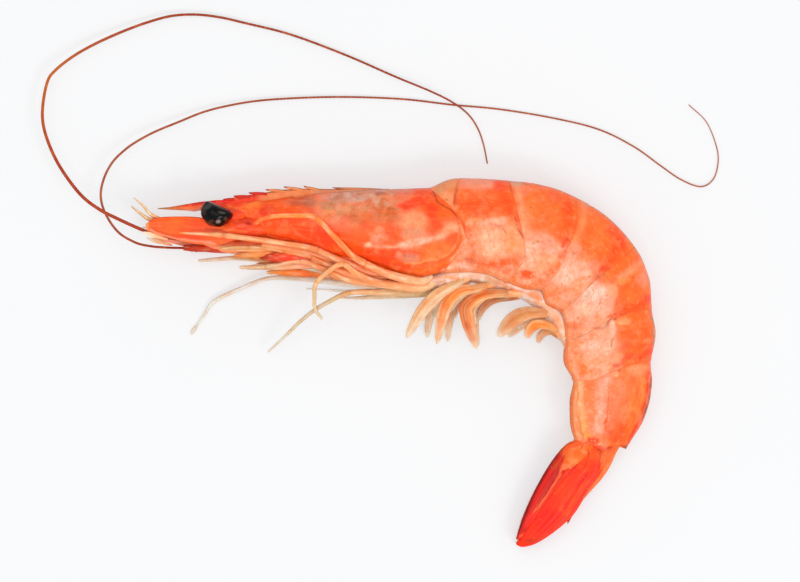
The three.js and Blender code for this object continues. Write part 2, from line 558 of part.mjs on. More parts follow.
// Each piece is cut clear of the pieces placed before it, and only its largest part is kept.
const shrimp = new THREE.Group();
shrimp.position.z = MIDDLE_HEIGHT;
const placed = [];

function touches(a, b) {
  return [0, 1, 2].every((k) => a.min[k] < b.max[k] && b.min[k] < a.max[k]);
}

function clearOfPlaced(solid) {
  const box = solid.boundingBox();
  const near = placed.filter((piece) => touches(piece.boundingBox(), box));
  return largest(near.reduce((rest, piece) => rest.subtract(piece), solid));
}

function addMesh(group, name, look, solid) {
  const mesh = new THREE.Mesh(geometryOf(solid), new THREE.MeshStandardMaterial(look));
  mesh.name = name;
  group.add(mesh);
}

// The builder makes the piece a given amount larger all round: nothing for the piece itself, and
// the gap for the room that later pieces leave round it.
function addShellPiece(group, name, look, builder) {
  addMesh(group, name, look, builder(0));
  placed.push(builder(CUT_GAP));
}

function addPiece(group, name, look, builder) {
  addMesh(group, name, look, clearOfPlaced(builder(0)));
  placed.push(builder(LIMB_GAP));
}

function addShell() {
  const group = new THREE.Group();
  const carapaceEnd = CARAPACE_RIBS.length - 1;
  addShellPiece(group, 'carapace', LOOKS.headShell, (grow) => {
    const dome = shellStretch(CARAPACE_RIBS, 0, carapaceEnd, CARAPACE_ROWS, grow, 0, 0);
    return dome.add(beakSolid(grow));
  });
  for (let ring = 1; ring < RING_ENDS.length; ring += 1) {
    const [from, to] = [RING_ENDS[ring - 1], RING_ENDS[ring]];
    const rowCount = Math.round(SEGMENT_ROWS * (to - from));
    addShellPiece(group, `segment_${ring}`, LOOKS.tailShell, (grow) => (
      shellStretch(ABDOMEN_RIBS, from, to, rowCount, grow, LIP_STEP, SHELL_GAP)
    ));
  }
  shrimp.add(group);
}

function addTailFan() {
  const group = new THREE.Group();
  const drooped = (levels) => levels.map((level, k) => [level - TAIL_DROOP[k]]);
  const halves = (pair) => pair.map((half) => [half]);
  const leaf = (outer, inner, levels, thickness) => (grow) => (
    leafSolid(outer, inner, drooped(levels), halves(thickness), grow)
  );
  addPiece(group, 'telson', LOOKS.tailFan, leaf(TELSON_OUTER, TELSON_INNER, [0, 0], TELSON_HALF));
  for (const [side, sign] of SIDES) {
    const onSide = (levels) => levels.map((level) => sign * level);
    const inner = leaf(ENDOPOD_OUTER, ENDOPOD_INNER, onSide(ENDOPOD_LEVELS), BLADE_HALF);
    const outer = leaf(EXOPOD_OUTER, EXOPOD_INNER, onSide(EXOPOD_LEVELS), BLADE_HALF);
    addPiece(group, `uropod_inner_${side}`, LOOKS.tailFan, inner);
    addPiece(group, `uropod_outer_${side}`, LOOKS.tailFan, outer);
  }
  shrimp.add(group);
}

function antennuleSolid(sign, grow) {
  const stem = limbSolid(onOwnSide(ANTENNULE_STEM, sign, RIGHT_ANTENNULE_SHIFT), FINENESS.antennule, grow);
  const branches = ANTENNULE_BRANCHES.map((path) => (
    limbSolid(onOwnSide(path, sign, RIGHT_ANTENNULE_SHIFT), FINENESS.antennuleBranch, grow)
  ));
  return branches.reduce((whole, branch) => whole.add(branch), stem);
}

function antennalScaleSolid(sign, grow) {
  const shift = sign > 0 ? [0, 0] : RIGHT_SCALE_SHIFT;
  const levels = SCALE_LEVELS.map((level) => [sign * level]);
  const halves = [[SCALE_HALF_THICKNESS], [SCALE_HALF_THICKNESS]];
  return leafSolid(shifted(SCALE_UPPER, shift), shifted(SCALE_LOWER, shift), levels, halves, grow);
}

function addHead() {
  const group = new THREE.Group();
  for (const [side, sign] of SIDES) {
    const [eyeCentre] = onOwnSide([EYE_CENTRE], sign);
    const stalk = onOwnSide(STALK_PATH, sign);
    const base = onOwnSide(ANTENNA_BASE, sign, RIGHT_BASE_SHIFT);
    const whisker = whiskerPath(sign > 0 ? WHISKER_LEFT : WHISKER_RIGHT);
    addPiece(group, `eye_${side}`, LOOKS.eye, (grow) => ellipsoidSolid(eyeCentre, EYE_RADII, grow));
    addPiece(group, `eye_stalk_${side}`, LOOKS.eyeStalk, (grow) => (
      limbSolid(stalk, FINENESS.eyeStalk, grow)
    ));
    addPiece(group, `antennal_scale_${side}`, LOOKS.headShell, (grow) => antennalScaleSolid(sign, grow));
    addPiece(group, `antennule_${side}`, LOOKS.limb, (grow) => antennuleSolid(sign, grow));
    addPiece(group, `antenna_base_${side}`, LOOKS.headShell, (grow) => (
      limbSolid(base, FINENESS.antennaBase, grow)
    ));
    addPiece(group, `antenna_${side}`, LOOKS.whisker, (grow) => (
      limbSolid(whisker, FINENESS.whisker, grow)
    ));
  }
  shrimp.add(group);
}

function addLimbs() {
  const group = new THREE.Group();
  const mouth = MOUTH_PATH.map(([x, y, z, radius]) => [x, y, z, radius, MOUTH_TALL * radius]);
  addPiece(group, 'mouthparts', LOOKS.mouth, (grow) => limbSolid(mouth, FINENESS.mouth, grow));
  for (const [name, path] of Object.entries(LIMBS)) {
    const fineness = [2 * path.length - 4, LIMB_SIDES];
    addPiece(group, name, LOOKS.limb, (grow) => limbSolid(path, fineness, grow));
  }
  for (const [side, sign] of SIDES) {
    const paths = sign > 0 ? SWIMMERETS_LEFT : SWIMMERETS_RIGHT;
    paths.forEach((path, k) => {
      const name = `swimmeret_${k + 1}_${side}`;
      addPiece(group, name, LOOKS.swimmeret, (grow) => swimmeretSolid(path, sign, grow));
    });
  }
  shrimp.add(group);
}

addShell();
addTailFan();
addHead();
addLimbs();

export default shrimp;
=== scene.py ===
"""The looks of a whole cooked shrimp on its right side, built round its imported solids.

Lengths are in millimetres until a mesh is made. Heights count from the middle plane that halves the
animal, MIDDLE above the table. Places read off the photograph are given in its pixels, through seen().
"""

import math
from itertools import product

import bpy
import numpy as np
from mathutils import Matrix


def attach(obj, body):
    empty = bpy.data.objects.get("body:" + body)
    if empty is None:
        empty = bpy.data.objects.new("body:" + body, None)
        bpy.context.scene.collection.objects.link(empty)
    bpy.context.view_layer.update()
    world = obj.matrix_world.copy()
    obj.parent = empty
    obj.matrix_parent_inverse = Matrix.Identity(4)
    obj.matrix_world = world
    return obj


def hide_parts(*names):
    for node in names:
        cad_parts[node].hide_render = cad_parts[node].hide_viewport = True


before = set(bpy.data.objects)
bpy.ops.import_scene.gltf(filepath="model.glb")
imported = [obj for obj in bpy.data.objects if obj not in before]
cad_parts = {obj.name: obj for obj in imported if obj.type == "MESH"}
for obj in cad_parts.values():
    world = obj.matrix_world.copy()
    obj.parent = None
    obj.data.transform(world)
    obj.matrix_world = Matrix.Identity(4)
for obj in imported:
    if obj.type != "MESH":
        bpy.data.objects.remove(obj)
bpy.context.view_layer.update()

MM = 0.001
MIDDLE = 8.0
PIXEL = 0.22
PHOTO_ZERO = (380.5, 279.75)
PHOTO_WIDTH, PHOTO_HEIGHT = 800, 582
DOT_SIZE = (1.2, 1.02)
DOT_COLOUR = "bc6834"


def seen(*pixels):
    """Plan places, in millimetres, of points given in pixels of the photograph."""
    at = np.array(pixels, float)
    return np.column_stack([(at[:, 0] - PHOTO_ZERO[0]) * PIXEL, (PHOTO_ZERO[1] - at[:, 1]) * PIXEL])


# Curves, noise and colour


def smooth(rows, places):
    """A smooth curve through evenly numbered rows of values, read at fractional places."""
    rows = np.asarray(rows, float)
    if rows.ndim == 1:
        rows = rows[:, None]
    places = np.asarray(places, float)
    around = np.vstack([2 * rows[0] - rows[1], rows, 2 * rows[-1] - rows[-2]])
    start = np.clip(np.floor(places).astype(int), 0, len(rows) - 2)
    t = (places - start)[:, None]
    a, b, c, d = (around[start + k] for k in range(4))
    return b + 0.5 * ((c - a) * t + (2 * a - 5 * b + 4 * c - d) * t**2 + (3 * b - a - 3 * c + d) * t**3)


def smooth_across(values, places):
    """The same for one curve per row: values is rows by stations, places is rows by columns."""
    around = np.column_stack([2 * values[:, 0] - values[:, 1], values, 2 * values[:, -1] - values[:, -2]])
    start = np.clip(np.floor(places).astype(int), 0, values.shape[1] - 2)
    t = places - start
    a, b, c, d = (np.take_along_axis(around, start + k, 1) for k in range(4))
    return b + 0.5 * ((c - a) * t + (2 * a - 5 * b + 4 * c - d) * t**2 + (3 * b - a - 3 * c + d) * t**3)


def ease(low, high, value):
    """0 below low, 1 above high, smooth between them."""
    t = np.clip((value - low) / (high - low), 0, 1)
    return t * t * (3 - 2 * t)


def wave_noise(points, seed):
    """Smooth noise from about -1 to 1 at points in units of its own grain."""
    rng = np.random.RandomState(seed)
    table = np.tile(rng.permutation(256), 3)
    lean = rng.normal(size=(256, 3))
    lean /= np.linalg.norm(lean, axis=1)[:, None]
    cell = np.floor(points).astype(int)
    f = points - cell
    cell &= 255
    fade = f**3 * (f * (f * 6 - 15) + 10)
    total = np.zeros(len(points))
    for corner in product((0, 1), repeat=3):
        i, j, k = (cell[:, axis] + corner[axis] for axis in range(3))
        which = table[table[table[i] + j] + k]
        weight = np.prod(np.where(np.array(corner) == 1, fade, 1 - fade), axis=1)
        total += weight * np.einsum("ij,ij->i", lean[which], f - np.array(corner))
    return total * 1.7


def rough(points, grain, seed, octaves=3):
    """Layered noise with its largest grain in millimetres."""
    total = np.zeros(len(points))
    for octave in range(octaves):
        total += wave_noise(points / grain * 2**octave + 31.7 * octave, seed + octave) * 0.5**octave
    return total


def linear(code):
    """A colour written as rrggbb, in linear light."""
    value = np.array([int(code[k : k + 2], 16) for k in (0, 2, 4)]) / 255
    return np.where(value <= 0.04045, value / 12.92, ((value + 0.055) / 1.055) ** 2.4)


def path_distance(plan, path):
    """How far each plan point is from a broken line, and how far along that line its nearest place is."""
    best = np.full(len(plan), 1e9)
    along = np.zeros(len(plan))
    walked = 0.0
    for a, b in zip(path[:-1], path[1:]):
        step = b - a
        length = np.linalg.norm(step)
        t = np.clip((plan - a) @ step / length**2, 0, 1)
        gap = np.linalg.norm(plan - a - t[:, None] * step, axis=1)
        nearer = gap < best
        best[nearer] = gap[nearer]
        along[nearer] = walked + t[nearer] * length
        walked += length
    return best, along / walked


def tint(code):
    """The paint that a surface needs to show as a colour under this scene's strong white light."""
    shown = linear(code)
    vivid = ease(0.6, 0.95, shown[0]) * (1 - ease(0.25, 0.6, shown[2]))
    share = np.array([0.82 + 0.18 * vivid, 0.8, 0.8])
    return np.clip(shown * share - [0.0, 0.010, 0.020], 0.003, 1)


class Paint:
    """Colours for a set of points, and how thickly dark specks lie there.

    Marks are laid over each other, with edges that wander. Their places and sizes are in pixels.
    """

    def __init__(self, grid, colour, wander=0.5, seed=5, specks=0.1):
        self.points = grid.reshape(-1, 3)
        self.colour = np.tile(tint(colour), (len(self.points), 1))
        self.specks = np.full(len(self.points), specks)
        self.plan = self.points[:, :2].copy()
        for axis in range(2):
            self.plan[:, axis] += wander * rough(self.points, 3.5, seed + 10 * axis)

    def mark(self, mask, colour, strength=1.0):
        """Blends a colour in where the mask is over nought."""
        share = np.clip(mask * strength, 0, 1)[:, None]
        self.colour += (tint(colour) - self.colour) * share

    def line_mask(self, pixels, width):
        gap, _ = path_distance(self.plan, seen(*pixels))
        return np.exp(-((gap / (width * PIXEL)) ** 2))

    def blob_mask(self, centre, size, turn, soft):
        offset = self.plan - seen(centre)[0]
        angle = math.radians(turn)
        u = (offset[:, 0] * math.cos(angle) + offset[:, 1] * math.sin(angle)) / (size[0] * PIXEL)
        v = (offset[:, 1] * math.cos(angle) - offset[:, 0] * math.sin(angle)) / (size[1] * PIXEL)
        return 1 - ease(1 - soft, 1 + soft, np.hypot(u, v))

    def grain(self, places, seed, low, high, colour, strength, mask=1.0):
        """Streaks: a colour where noise at stretched places rises from a low to a high level."""
        self.mark(ease(low, high, wave_noise(places, seed)) * mask, colour, strength)

    def mottle(self, grain, colour, strength, seed, mask=1.0, cut=0.1):
        """Patches of a colour where the noise is high."""
        self.mark(ease(cut, cut + 0.5, rough(self.points, grain, seed)) * mask, colour, strength)

    def veins(self, grain, width, colour, strength, seed, mask=1.0):
        """Thin wandering lines, where the noise crosses nought."""
        near = np.exp(-((rough(self.points, grain, seed, 2) / width) ** 2))
        some = ease(-0.15, 0.25, rough(self.points, 1.7 * grain, seed + 5, 2))
        self.mark(near * some * mask, colour, strength)

    def draw(self, marks):
        """Lays marks over the paint in their order."""
        for mark in marks:
            mark(self)

    def rgba(self):
        """The colours, with the share of specks as their alpha."""
        return np.column_stack([np.clip(self.colour, 0, 1), np.clip(self.specks, 0, 1)])


def blob(x, y, wide, tall, colour, strength, turn=0.0, soft=0.45):
    """A mark: an oval with soft sides, turned anticlockwise by degrees."""
    return lambda paint: paint.mark(paint.blob_mask((x, y), (wide, tall), turn, soft), colour, strength)


def line(width, colour, strength, *pixels):
    """A mark: a stroke with soft sides along a broken line."""
    return lambda paint: paint.mark(paint.line_mask(pixels, width), colour, strength)


def dots(*places):
    """A mark: small brown dots."""

    def lay(paint):
        for place in places:
            paint.mark(paint.blob_mask(place, DOT_SIZE, 30, 0.6), DOT_COLOUR, 0.6)

    return lay


def speckle(x, y, wide, tall, amount):
    """A mark: more dark specks inside an oval."""

    def lay(paint):
        paint.specks = np.maximum(paint.specks, paint.blob_mask((x, y), (wide, tall), 0, 0.4) * amount)

    return lay


# Meshes


def angles(columns):
    """Evenly spread angles, once round."""
    return np.linspace(0, 2 * math.pi, columns + 1)[:-1]


def grid_faces(rows, columns):
    """Four-cornered faces of a row of rings."""
    row = np.arange(rows - 1)[:, None]
    column = np.arange(columns)[None]
    after = (column + 1) % columns
    corners = [row * columns + column, row * columns + after]
    corners += [(row + 1) * columns + after, (row + 1) * columns + column]
    return np.stack(np.broadcast_arrays(*corners), -1).reshape(-1, 4)


def outward(points, faces):
    """The faces of a closed body, turned round if they look inward."""
    volume = 0.0
    for face in faces:
        a, b, c = points[face[:, 0]], points[face[:, 1]], points[face[:, 2]]
        volume += np.einsum("ij,ij->i", a, np.cross(b, c)).sum()
        if face.shape[1] == 4:
            d = points[face[:, 3]]
            volume += np.einsum("ij,ij->i", a, np.cross(c, d)).sum()
    return faces if volume > 0 else [face[:, ::-1] for face in faces]


def closed_body(rings, colour):
    """A body over a row of rings, shut at both ends by fans."""
    rows, columns = rings.shape[:2]
    points = np.vstack([rings.reshape(-1, 3), rings[0].mean(0), rings[-1].mean(0)])
    colours = np.vstack([colour, colour[:columns].mean(0), colour[-columns:].mean(0)])
    ring = np.arange(columns)
    after = (ring + 1) % columns
    start = np.column_stack([np.full(columns, rows * columns), after, ring])
    last = (rows - 1) * columns
    end = np.column_stack([np.full(columns, rows * columns + 1), ring + last, after + last])
    centred = points - points.mean(0)
    return points, outward(centred, [grid_faces(rows, columns), start, end]), colours


def join(bodies):
    """Several bodies as one list of points, faces and colours."""
    points, faces, colours, count = [], [], [], 0
    for body_points, body_faces, body_colours in bodies:
        points.append(body_points)
        faces += [face + count for face in body_faces]
        colours.append(body_colours)
        count += len(body_points)
    return np.vstack(points), faces, np.vstack(colours)


def put(name, data):
    """A new object in the scene."""
    thing = bpy.data.objects.new(name, data)
    bpy.context.scene.collection.objects.link(thing)
    return thing


def add_piece(name, bodies, slot, *nodes, finish=None):
    """One Blender mesh from bodies in millimetres, riding on the root and standing for CAD nodes."""
    points, faces, colours = join(bodies)
    placed = (points + [0, 0, MIDDLE]) * MM
    placed[:, 2] = np.maximum(placed[:, 2], 0)
    mesh = bpy.data.meshes.new(name)
    mesh.from_pydata(placed.tolist(), [], [f for face in faces for f in face.tolist()])
    mesh.shade_smooth()
    layer = mesh.color_attributes.new("paint", "FLOAT_COLOR", "POINT")
    layer.data.foreach_set("color", colours.astype(np.float32).ravel())
    mesh.materials.append(LOOKS[finish or slot])
    piece = put(name, mesh)
    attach(piece, "root")
    if nodes:
        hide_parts(*nodes)


# Materials


def wire(tree, kind, inputs=None, **settings):
    """A shader node with its settings, and its inputs set or linked by name or number."""
    node = tree.nodes.new(kind)
    for key, value in settings.items():
        setattr(node, key, value)
    for key, value in (inputs or {}).items():
        if isinstance(value, bpy.types.NodeSocket):
            tree.links.new(value, node.inputs[key])
        else:
            node.inputs[key].default_value = value
    return node


def mix_colour(tree, share, a, b, blend="MIX"):
    return wire(tree, "ShaderNodeMix", {0: share, 6: a, 7: b}, data_type="RGBA", blend_type=blend).outputs[2]


def ramp(tree, value, low, high, start=0.0, end=1.0):
    """A value from start to end while the input goes from low to high."""
    return wire(tree, "ShaderNodeMapRange", {0: value, 1: low, 2: high, 3: start, 4: end}).outputs[0]


def look(
    name, wet, shine=0.25, grain=0.32, pits=0.3, contrast=0.95, clear=0.12, roughness=(0.3, 0.5), speck=0.6
):
    """A cooked-shell material: painted colour with pigment grains, patches, dark specks and a wet sheen."""
    material = bpy.data.materials.new(name)
    material.use_nodes = True
    tree = material.node_tree
    tree.nodes.clear()
    place = wire(tree, "ShaderNodeTexCoord").outputs["Object"]
    painted = wire(tree, "ShaderNodeVertexColor", layer_name="paint")
    colour = painted.outputs["Color"]
    layers = ((2.0, 3.0, 0.13), (grain, 4.0, 0.10))
    noises = []
    for size, detail, swing in layers:
        swing *= contrast
        noise = wire(tree, "ShaderNodeTexNoise", {"Vector": place, "Scale": 1000 / size, "Detail": detail})
        deeper = (1 - 0.3 * swing, 1 - 1.3 * swing, 1 - 2.0 * swing, 1.0)
        fainter = (1.0, 1 + 1.0 * swing, 1 + 1.5 * swing, 1.0)
        deep = mix_colour(tree, 1.0, colour, deeper, "MULTIPLY")
        faint = mix_colour(tree, 1.0, colour, fainter, "MULTIPLY")
        colour = mix_colour(tree, ramp(tree, noise.outputs[0], 0.34, 0.66), deep, faint)
        noises.append(noise.outputs[0])
    cells = wire(tree, "ShaderNodeTexVoronoi", {"Vector": place, "Scale": 1000 / 0.8, "Randomness": 1.0})
    near = ramp(tree, cells.outputs["Distance"], 0.06, 0.26, speck, 0.0)
    pick = wire(tree, "ShaderNodeSeparateColor", {0: cells.outputs["Color"]}).outputs[0]
    some = wire(tree, "ShaderNodeMath", {0: pick, 1: painted.outputs["Alpha"]}, operation="LESS_THAN")
    share = wire(tree, "ShaderNodeMath", {0: near, 1: some.outputs[0]}, operation="MULTIPLY")
    colour = mix_colour(tree, share.outputs[0], colour, (0.5, 0.17, 0.06, 1.0))
    low = wire(tree, "ShaderNodeBump", {"Strength": 0.5 * pits, "Distance": 0.0004, "Height": noises[0]})
    pitted = {"Strength": pits, "Distance": 0.00012, "Height": noises[1], "Normal": low.outputs[0]}
    skin = {
        "Base Color": colour,
        "Roughness": ramp(tree, noises[0], 0.3, 0.7, *roughness),
        "Normal": wire(tree, "ShaderNodeBump", pitted).outputs[0],
        "IOR": 1.45,
        "Specular IOR Level": shine,
        "Subsurface Weight": clear,
        "Subsurface Radius": (1.0, 0.35, 0.18),
        "Subsurface Scale": 0.0012,
        "Coat Weight": wet,
        "Coat Roughness": 0.2,
    }
    out = wire(tree, "ShaderNodeOutputMaterial")
    tree.links.new(wire(tree, "ShaderNodeBsdfPrincipled", skin).outputs[0], out.inputs[0])
    return material


LOOKS = {
    "head_shell": look("cooked_head_shell", 0.08),
    "tail_shell": look("cooked_tail_shell", 0.08),
    "tail_fan": look("cooked_tail_fan", 0.04, shine=0.18, grain=0.28),
    "eye": look("shrimp_eye", 0.0, 0.12, grain=0.2, pits=0.04, clear=0.0, roughness=(0.07, 0.12), speck=0.0),
    "limb": look("cooked_limb", 0.05, grain=0.26, contrast=0.8, clear=0.12),
    "swimmeret": look("cooked_swimmeret", 0.0, shine=0.2, grain=0.24, clear=0.25, roughness=(0.4, 0.6)),
    "whisker": look("cooked_whisker", 0.05, grain=0.2, roughness=(0.35, 0.5)),
}

# The shell


def rib(back, low, half, droop=0.0, bows=(0, 0, 0)):
    """One station of the shell: back, lower edge, half width, droop, and how far it bows tailwards."""
    return (*back, *low, half, droop, *bows)


CARAPACE_RIBS = [
    rib((-34.0, 16.7), (-27.4, 9.4), 2.3),
    rib((-28.7, 17.3), (-22.1, 8.4), 3.7),
    rib((-20.4, 18.2), (-15.9, 7.2), 5.4),
    rib((-10.4, 19.3), (-7.8, 4.9), 7.0),
    rib((-0.6, 19.8), (1.0, 2.3), 7.8, 0, (0.8, 1.2, 0.9)),
    rib((6.9, 20.1), (8.2, 0.8), 8.1, 0, (2.2, 3.5, 2.7)),
    rib((10.9, 20.2), (13.5, 1.5), 8.15, 0, (3.7, 6.2, 4.8)),
]
ABDOMEN_RIBS = [
    rib((10.9, 20.3), (13.6, 1.5), 8.1, 0, (3.7, 6.2, 4.8)),
    rib((16.8, 22.3), (21.9, 1.5), 8.3, 0, (2.4, 4.2, 4.2)),
    rib((28.3, 21.8), (27.8, -0.7), 8.3, 0, (1.4, 2.9, 3.6)),
    rib((36.0, 20.8), (31.6, -2.0), 8.3, 0, (1.7, 2.6, 2.8)),
    rib((43.0, 18.1), (35.1, -2.3), 8.25, 0, (2.0, 2.2, 2.0)),
    rib((49.8, 13.9), (36.4, -5.3), 8.2, 0.05, (1.0, 1.0, 1.0)),
    rib((56.0, 7.2), (39.5, -7.1), 8.0, 0.15, (0, -0.4, 0)),
    rib((59.1, 0.4), (40.4, -10.2), 7.8, 0.4, (-0.5, -0.7, 0)),
    rib((59.7, -6.4), (40.6, -13.5), 7.5, 0.75, (-1.0, -1.0, 0)),
    rib((60.6, -11.9), (40.5, -18.1), 7.0, 1.2, (-0.6, -0.4, 0.4)),
    rib((59.6, -17.7), (42.4, -22.1), 6.3, 1.9, (-0.2, 0.2, 0.8)),
    rib((59.8, -23.4), (41.8, -26.9), 5.9, 2.4),
    rib((58.2, -30.4), (42.1, -32.6), 5.1, 3.1),
    rib((54.2, -37.2), (43.7, -37.2), 4.2, 3.8, (-0.7, 0.2, -1.1)),
]
RING_ENDS = (0, 2, 4, 6, 8, 10, 13)
RING_STEP, HEAD_STEP = 0.2, 0.225
RING_LIP = 0.13
ARC_END = 0.78 * math.pi
FLANK_COLUMNS = 121
FLAP_DEPTH = (1 - math.cos(ARC_END * 10 / 11)) / (1 - math.cos(ARC_END))
FLAP_WIDTH = 0.72 * math.sin(ARC_END * 10 / 11)


def section():
    """A shell's section: shares of depth and half width, from the left lower edge over the back."""
    angle = np.linspace(ARC_END, -ARC_END, 2 * FLANK_COLUMNS - 1)
    outer = np.column_stack([(1 - np.cos(angle)) / (1 - math.cos(ARC_END)), np.sin(angle)])
    edge = math.sin(ARC_END)
    s = np.linspace(0, 1, 12)[1:]
    inward = edge - 0.05 * np.sin(s * math.pi) + (FLAP_WIDTH - edge) * s - 0.035
    flap = np.column_stack([1 + (FLAP_DEPTH - 1) * s, inward])
    across = np.linspace(FLAP_WIDTH - 0.035, -FLAP_WIDTH + 0.035, 26)[1:-1]
    floor = np.column_stack([FLAP_DEPTH + 0.035 * (1 - (across / FLAP_WIDTH) ** 2), across])
    right_flap = flap * [1, -1]
    return np.vstack([outer, right_flap, floor[::-1], flap[::-1]]), len(outer)


SECTION, OUTER_COLUMNS = section()
RIM_SHARE = 0.4 + 0.6 * ease(0.0, 0.35, SECTION[:, 0])


def shell_points(ribs, places, lips, slides):
    """Points of a shell, rows by columns, as the solids have it."""
    stations = smooth(ribs, places)
    back, low = stations[:, 0:2], stations[:, 2:4]
    half, droop, bows = stations[:, 4:5], stations[:, 5:6], stations[:, 6:9]
    down = low - back
    depth = np.linalg.norm(down, axis=1, keepdims=True)
    down = down / depth
    lips, slides = np.asarray(lips)[:, None] * RIM_SHARE, np.asarray(slides)[:, None]
    along = lips + SECTION[:, 0] * (depth - 2 * lips)
    none = np.zeros((len(bows), 1))
    bow = smooth_across(np.column_stack([none, bows, none]), 4 * along / depth) + slides
    x = back[:, 0:1] + down[:, 0:1] * along - down[:, 1:2] * bow
    y = back[:, 1:2] + down[:, 1:2] * along + down[:, 0:1] * bow
    z = SECTION[:, 1] * (half - lips) - droop
    return np.stack([x, y, z], -1)


def grid_normals(grid):
    """Unit directions square to a grid of points that is closed round its columns, away from its middle."""
    along = np.gradient(grid, axis=0)
    around = np.roll(grid, -1, axis=1) - np.roll(grid, 1, axis=1)
    square = np.cross(along, around)
    square /= np.maximum(np.linalg.norm(square, axis=-1, keepdims=True), 1e-9)
    away = grid - grid.mean(axis=1, keepdims=True)
    return square if (square * away).sum() > 0 else -square


def curve_length(rows, places):
    """The length of the smooth curve through rows, over the places."""
    return np.linalg.norm(np.diff(smooth(rows, places), axis=0), axis=1).sum()


def flat(values):
    return values.reshape(-1)


class Shell:
    """A stretch of shell: its rows go from a tucked-in front, over the outside, to a rim with a thickness."""

    FRONT = ((-1.3, 1.3), (-1.2, 0.85), (-0.8, 0.62), (-0.3, 0.5))
    REAR = ((0.10, 0.05), (0.13, 0.16), (-0.3, 0.42), (-1.6, 0.6))

    def __init__(self, ribs, first, last, step, lip):
        count = int(curve_length(np.array(ribs)[:, :2], np.linspace(first, last, 30)) / step)
        share = np.linspace(0, 1, count)
        slides = [s for s, _ in self.FRONT] + [0] * count + [s for s, _ in self.REAR]
        lips = [v for _, v in self.FRONT] + list(lip * (1 - share) ** 2) + [v for _, v in self.REAR]
        places = [first] * len(self.FRONT) + list(first + share * (last - first)) + [last] * len(self.REAR)
        self.grid = shell_points(ribs, np.array(places), lips, slides)
        self.shape = self.grid.shape[:2]
        self.along = np.repeat(np.clip((np.array(places) - first) / (last - first), 0, 1), self.shape[1])
        self.down = np.tile(SECTION[:, 0], self.shape[0])
        outer, inner = np.zeros((2, *self.shape))
        outer[len(self.FRONT) : len(self.FRONT) + count, :OUTER_COLUMNS] = 1
        inner[:, OUTER_COLUMNS + 4 : -4] = 1
        self.outer, self.inner = flat(outer), flat(inner)
        self.points = self.grid.reshape(-1, 3)
        self.plan = self.points[:, :2]

    def raise_by(self, height):
        """Moves the outer face out by a height for each point."""
        height = (height * self.outer).reshape(self.shape)
        self.grid = self.grid + grid_normals(self.grid) * height[..., None]
        self.points = self.grid.reshape(-1, 3)

    def body(self, colour):
        return closed_body(self.grid, colour)


def ridge(plan, pixels, width, height):
    """A raised line, or a groove where the height is less than nothing. Its width is in pixels."""
    gap, _ = path_distance(plan, seen(*pixels))
    return height * np.exp(-((gap / (width * PIXEL)) ** 2))


def ring_relief(shell, seed):
    """Low relief that every ring of shell has: a rim, a groove before it, shallow waves and fine pits."""
    along, down = shell.along, shell.down
    side = 0.3 + 0.7 * ease(0.1, 0.4, down)
    rim = (0.05 * ease(0.93, 0.96, along) - 0.05 * np.exp(-(((along - 0.91) / 0.015) ** 2))) * side
    hem = 0.10 * ease(0.93, 0.96, down) - 0.10 * np.exp(-(((down - 0.905) / 0.014) ** 2))
    waves = 0.09 * rough(shell.points, 6.0, seed, 2)
    pits = 0.02 * rough(shell.points, 0.9, seed + 7, 2)
    return rim + hem + waves + pits


ORANGE, PALE, FLESH = "ff7438", "fbae88", "f4cdb2"

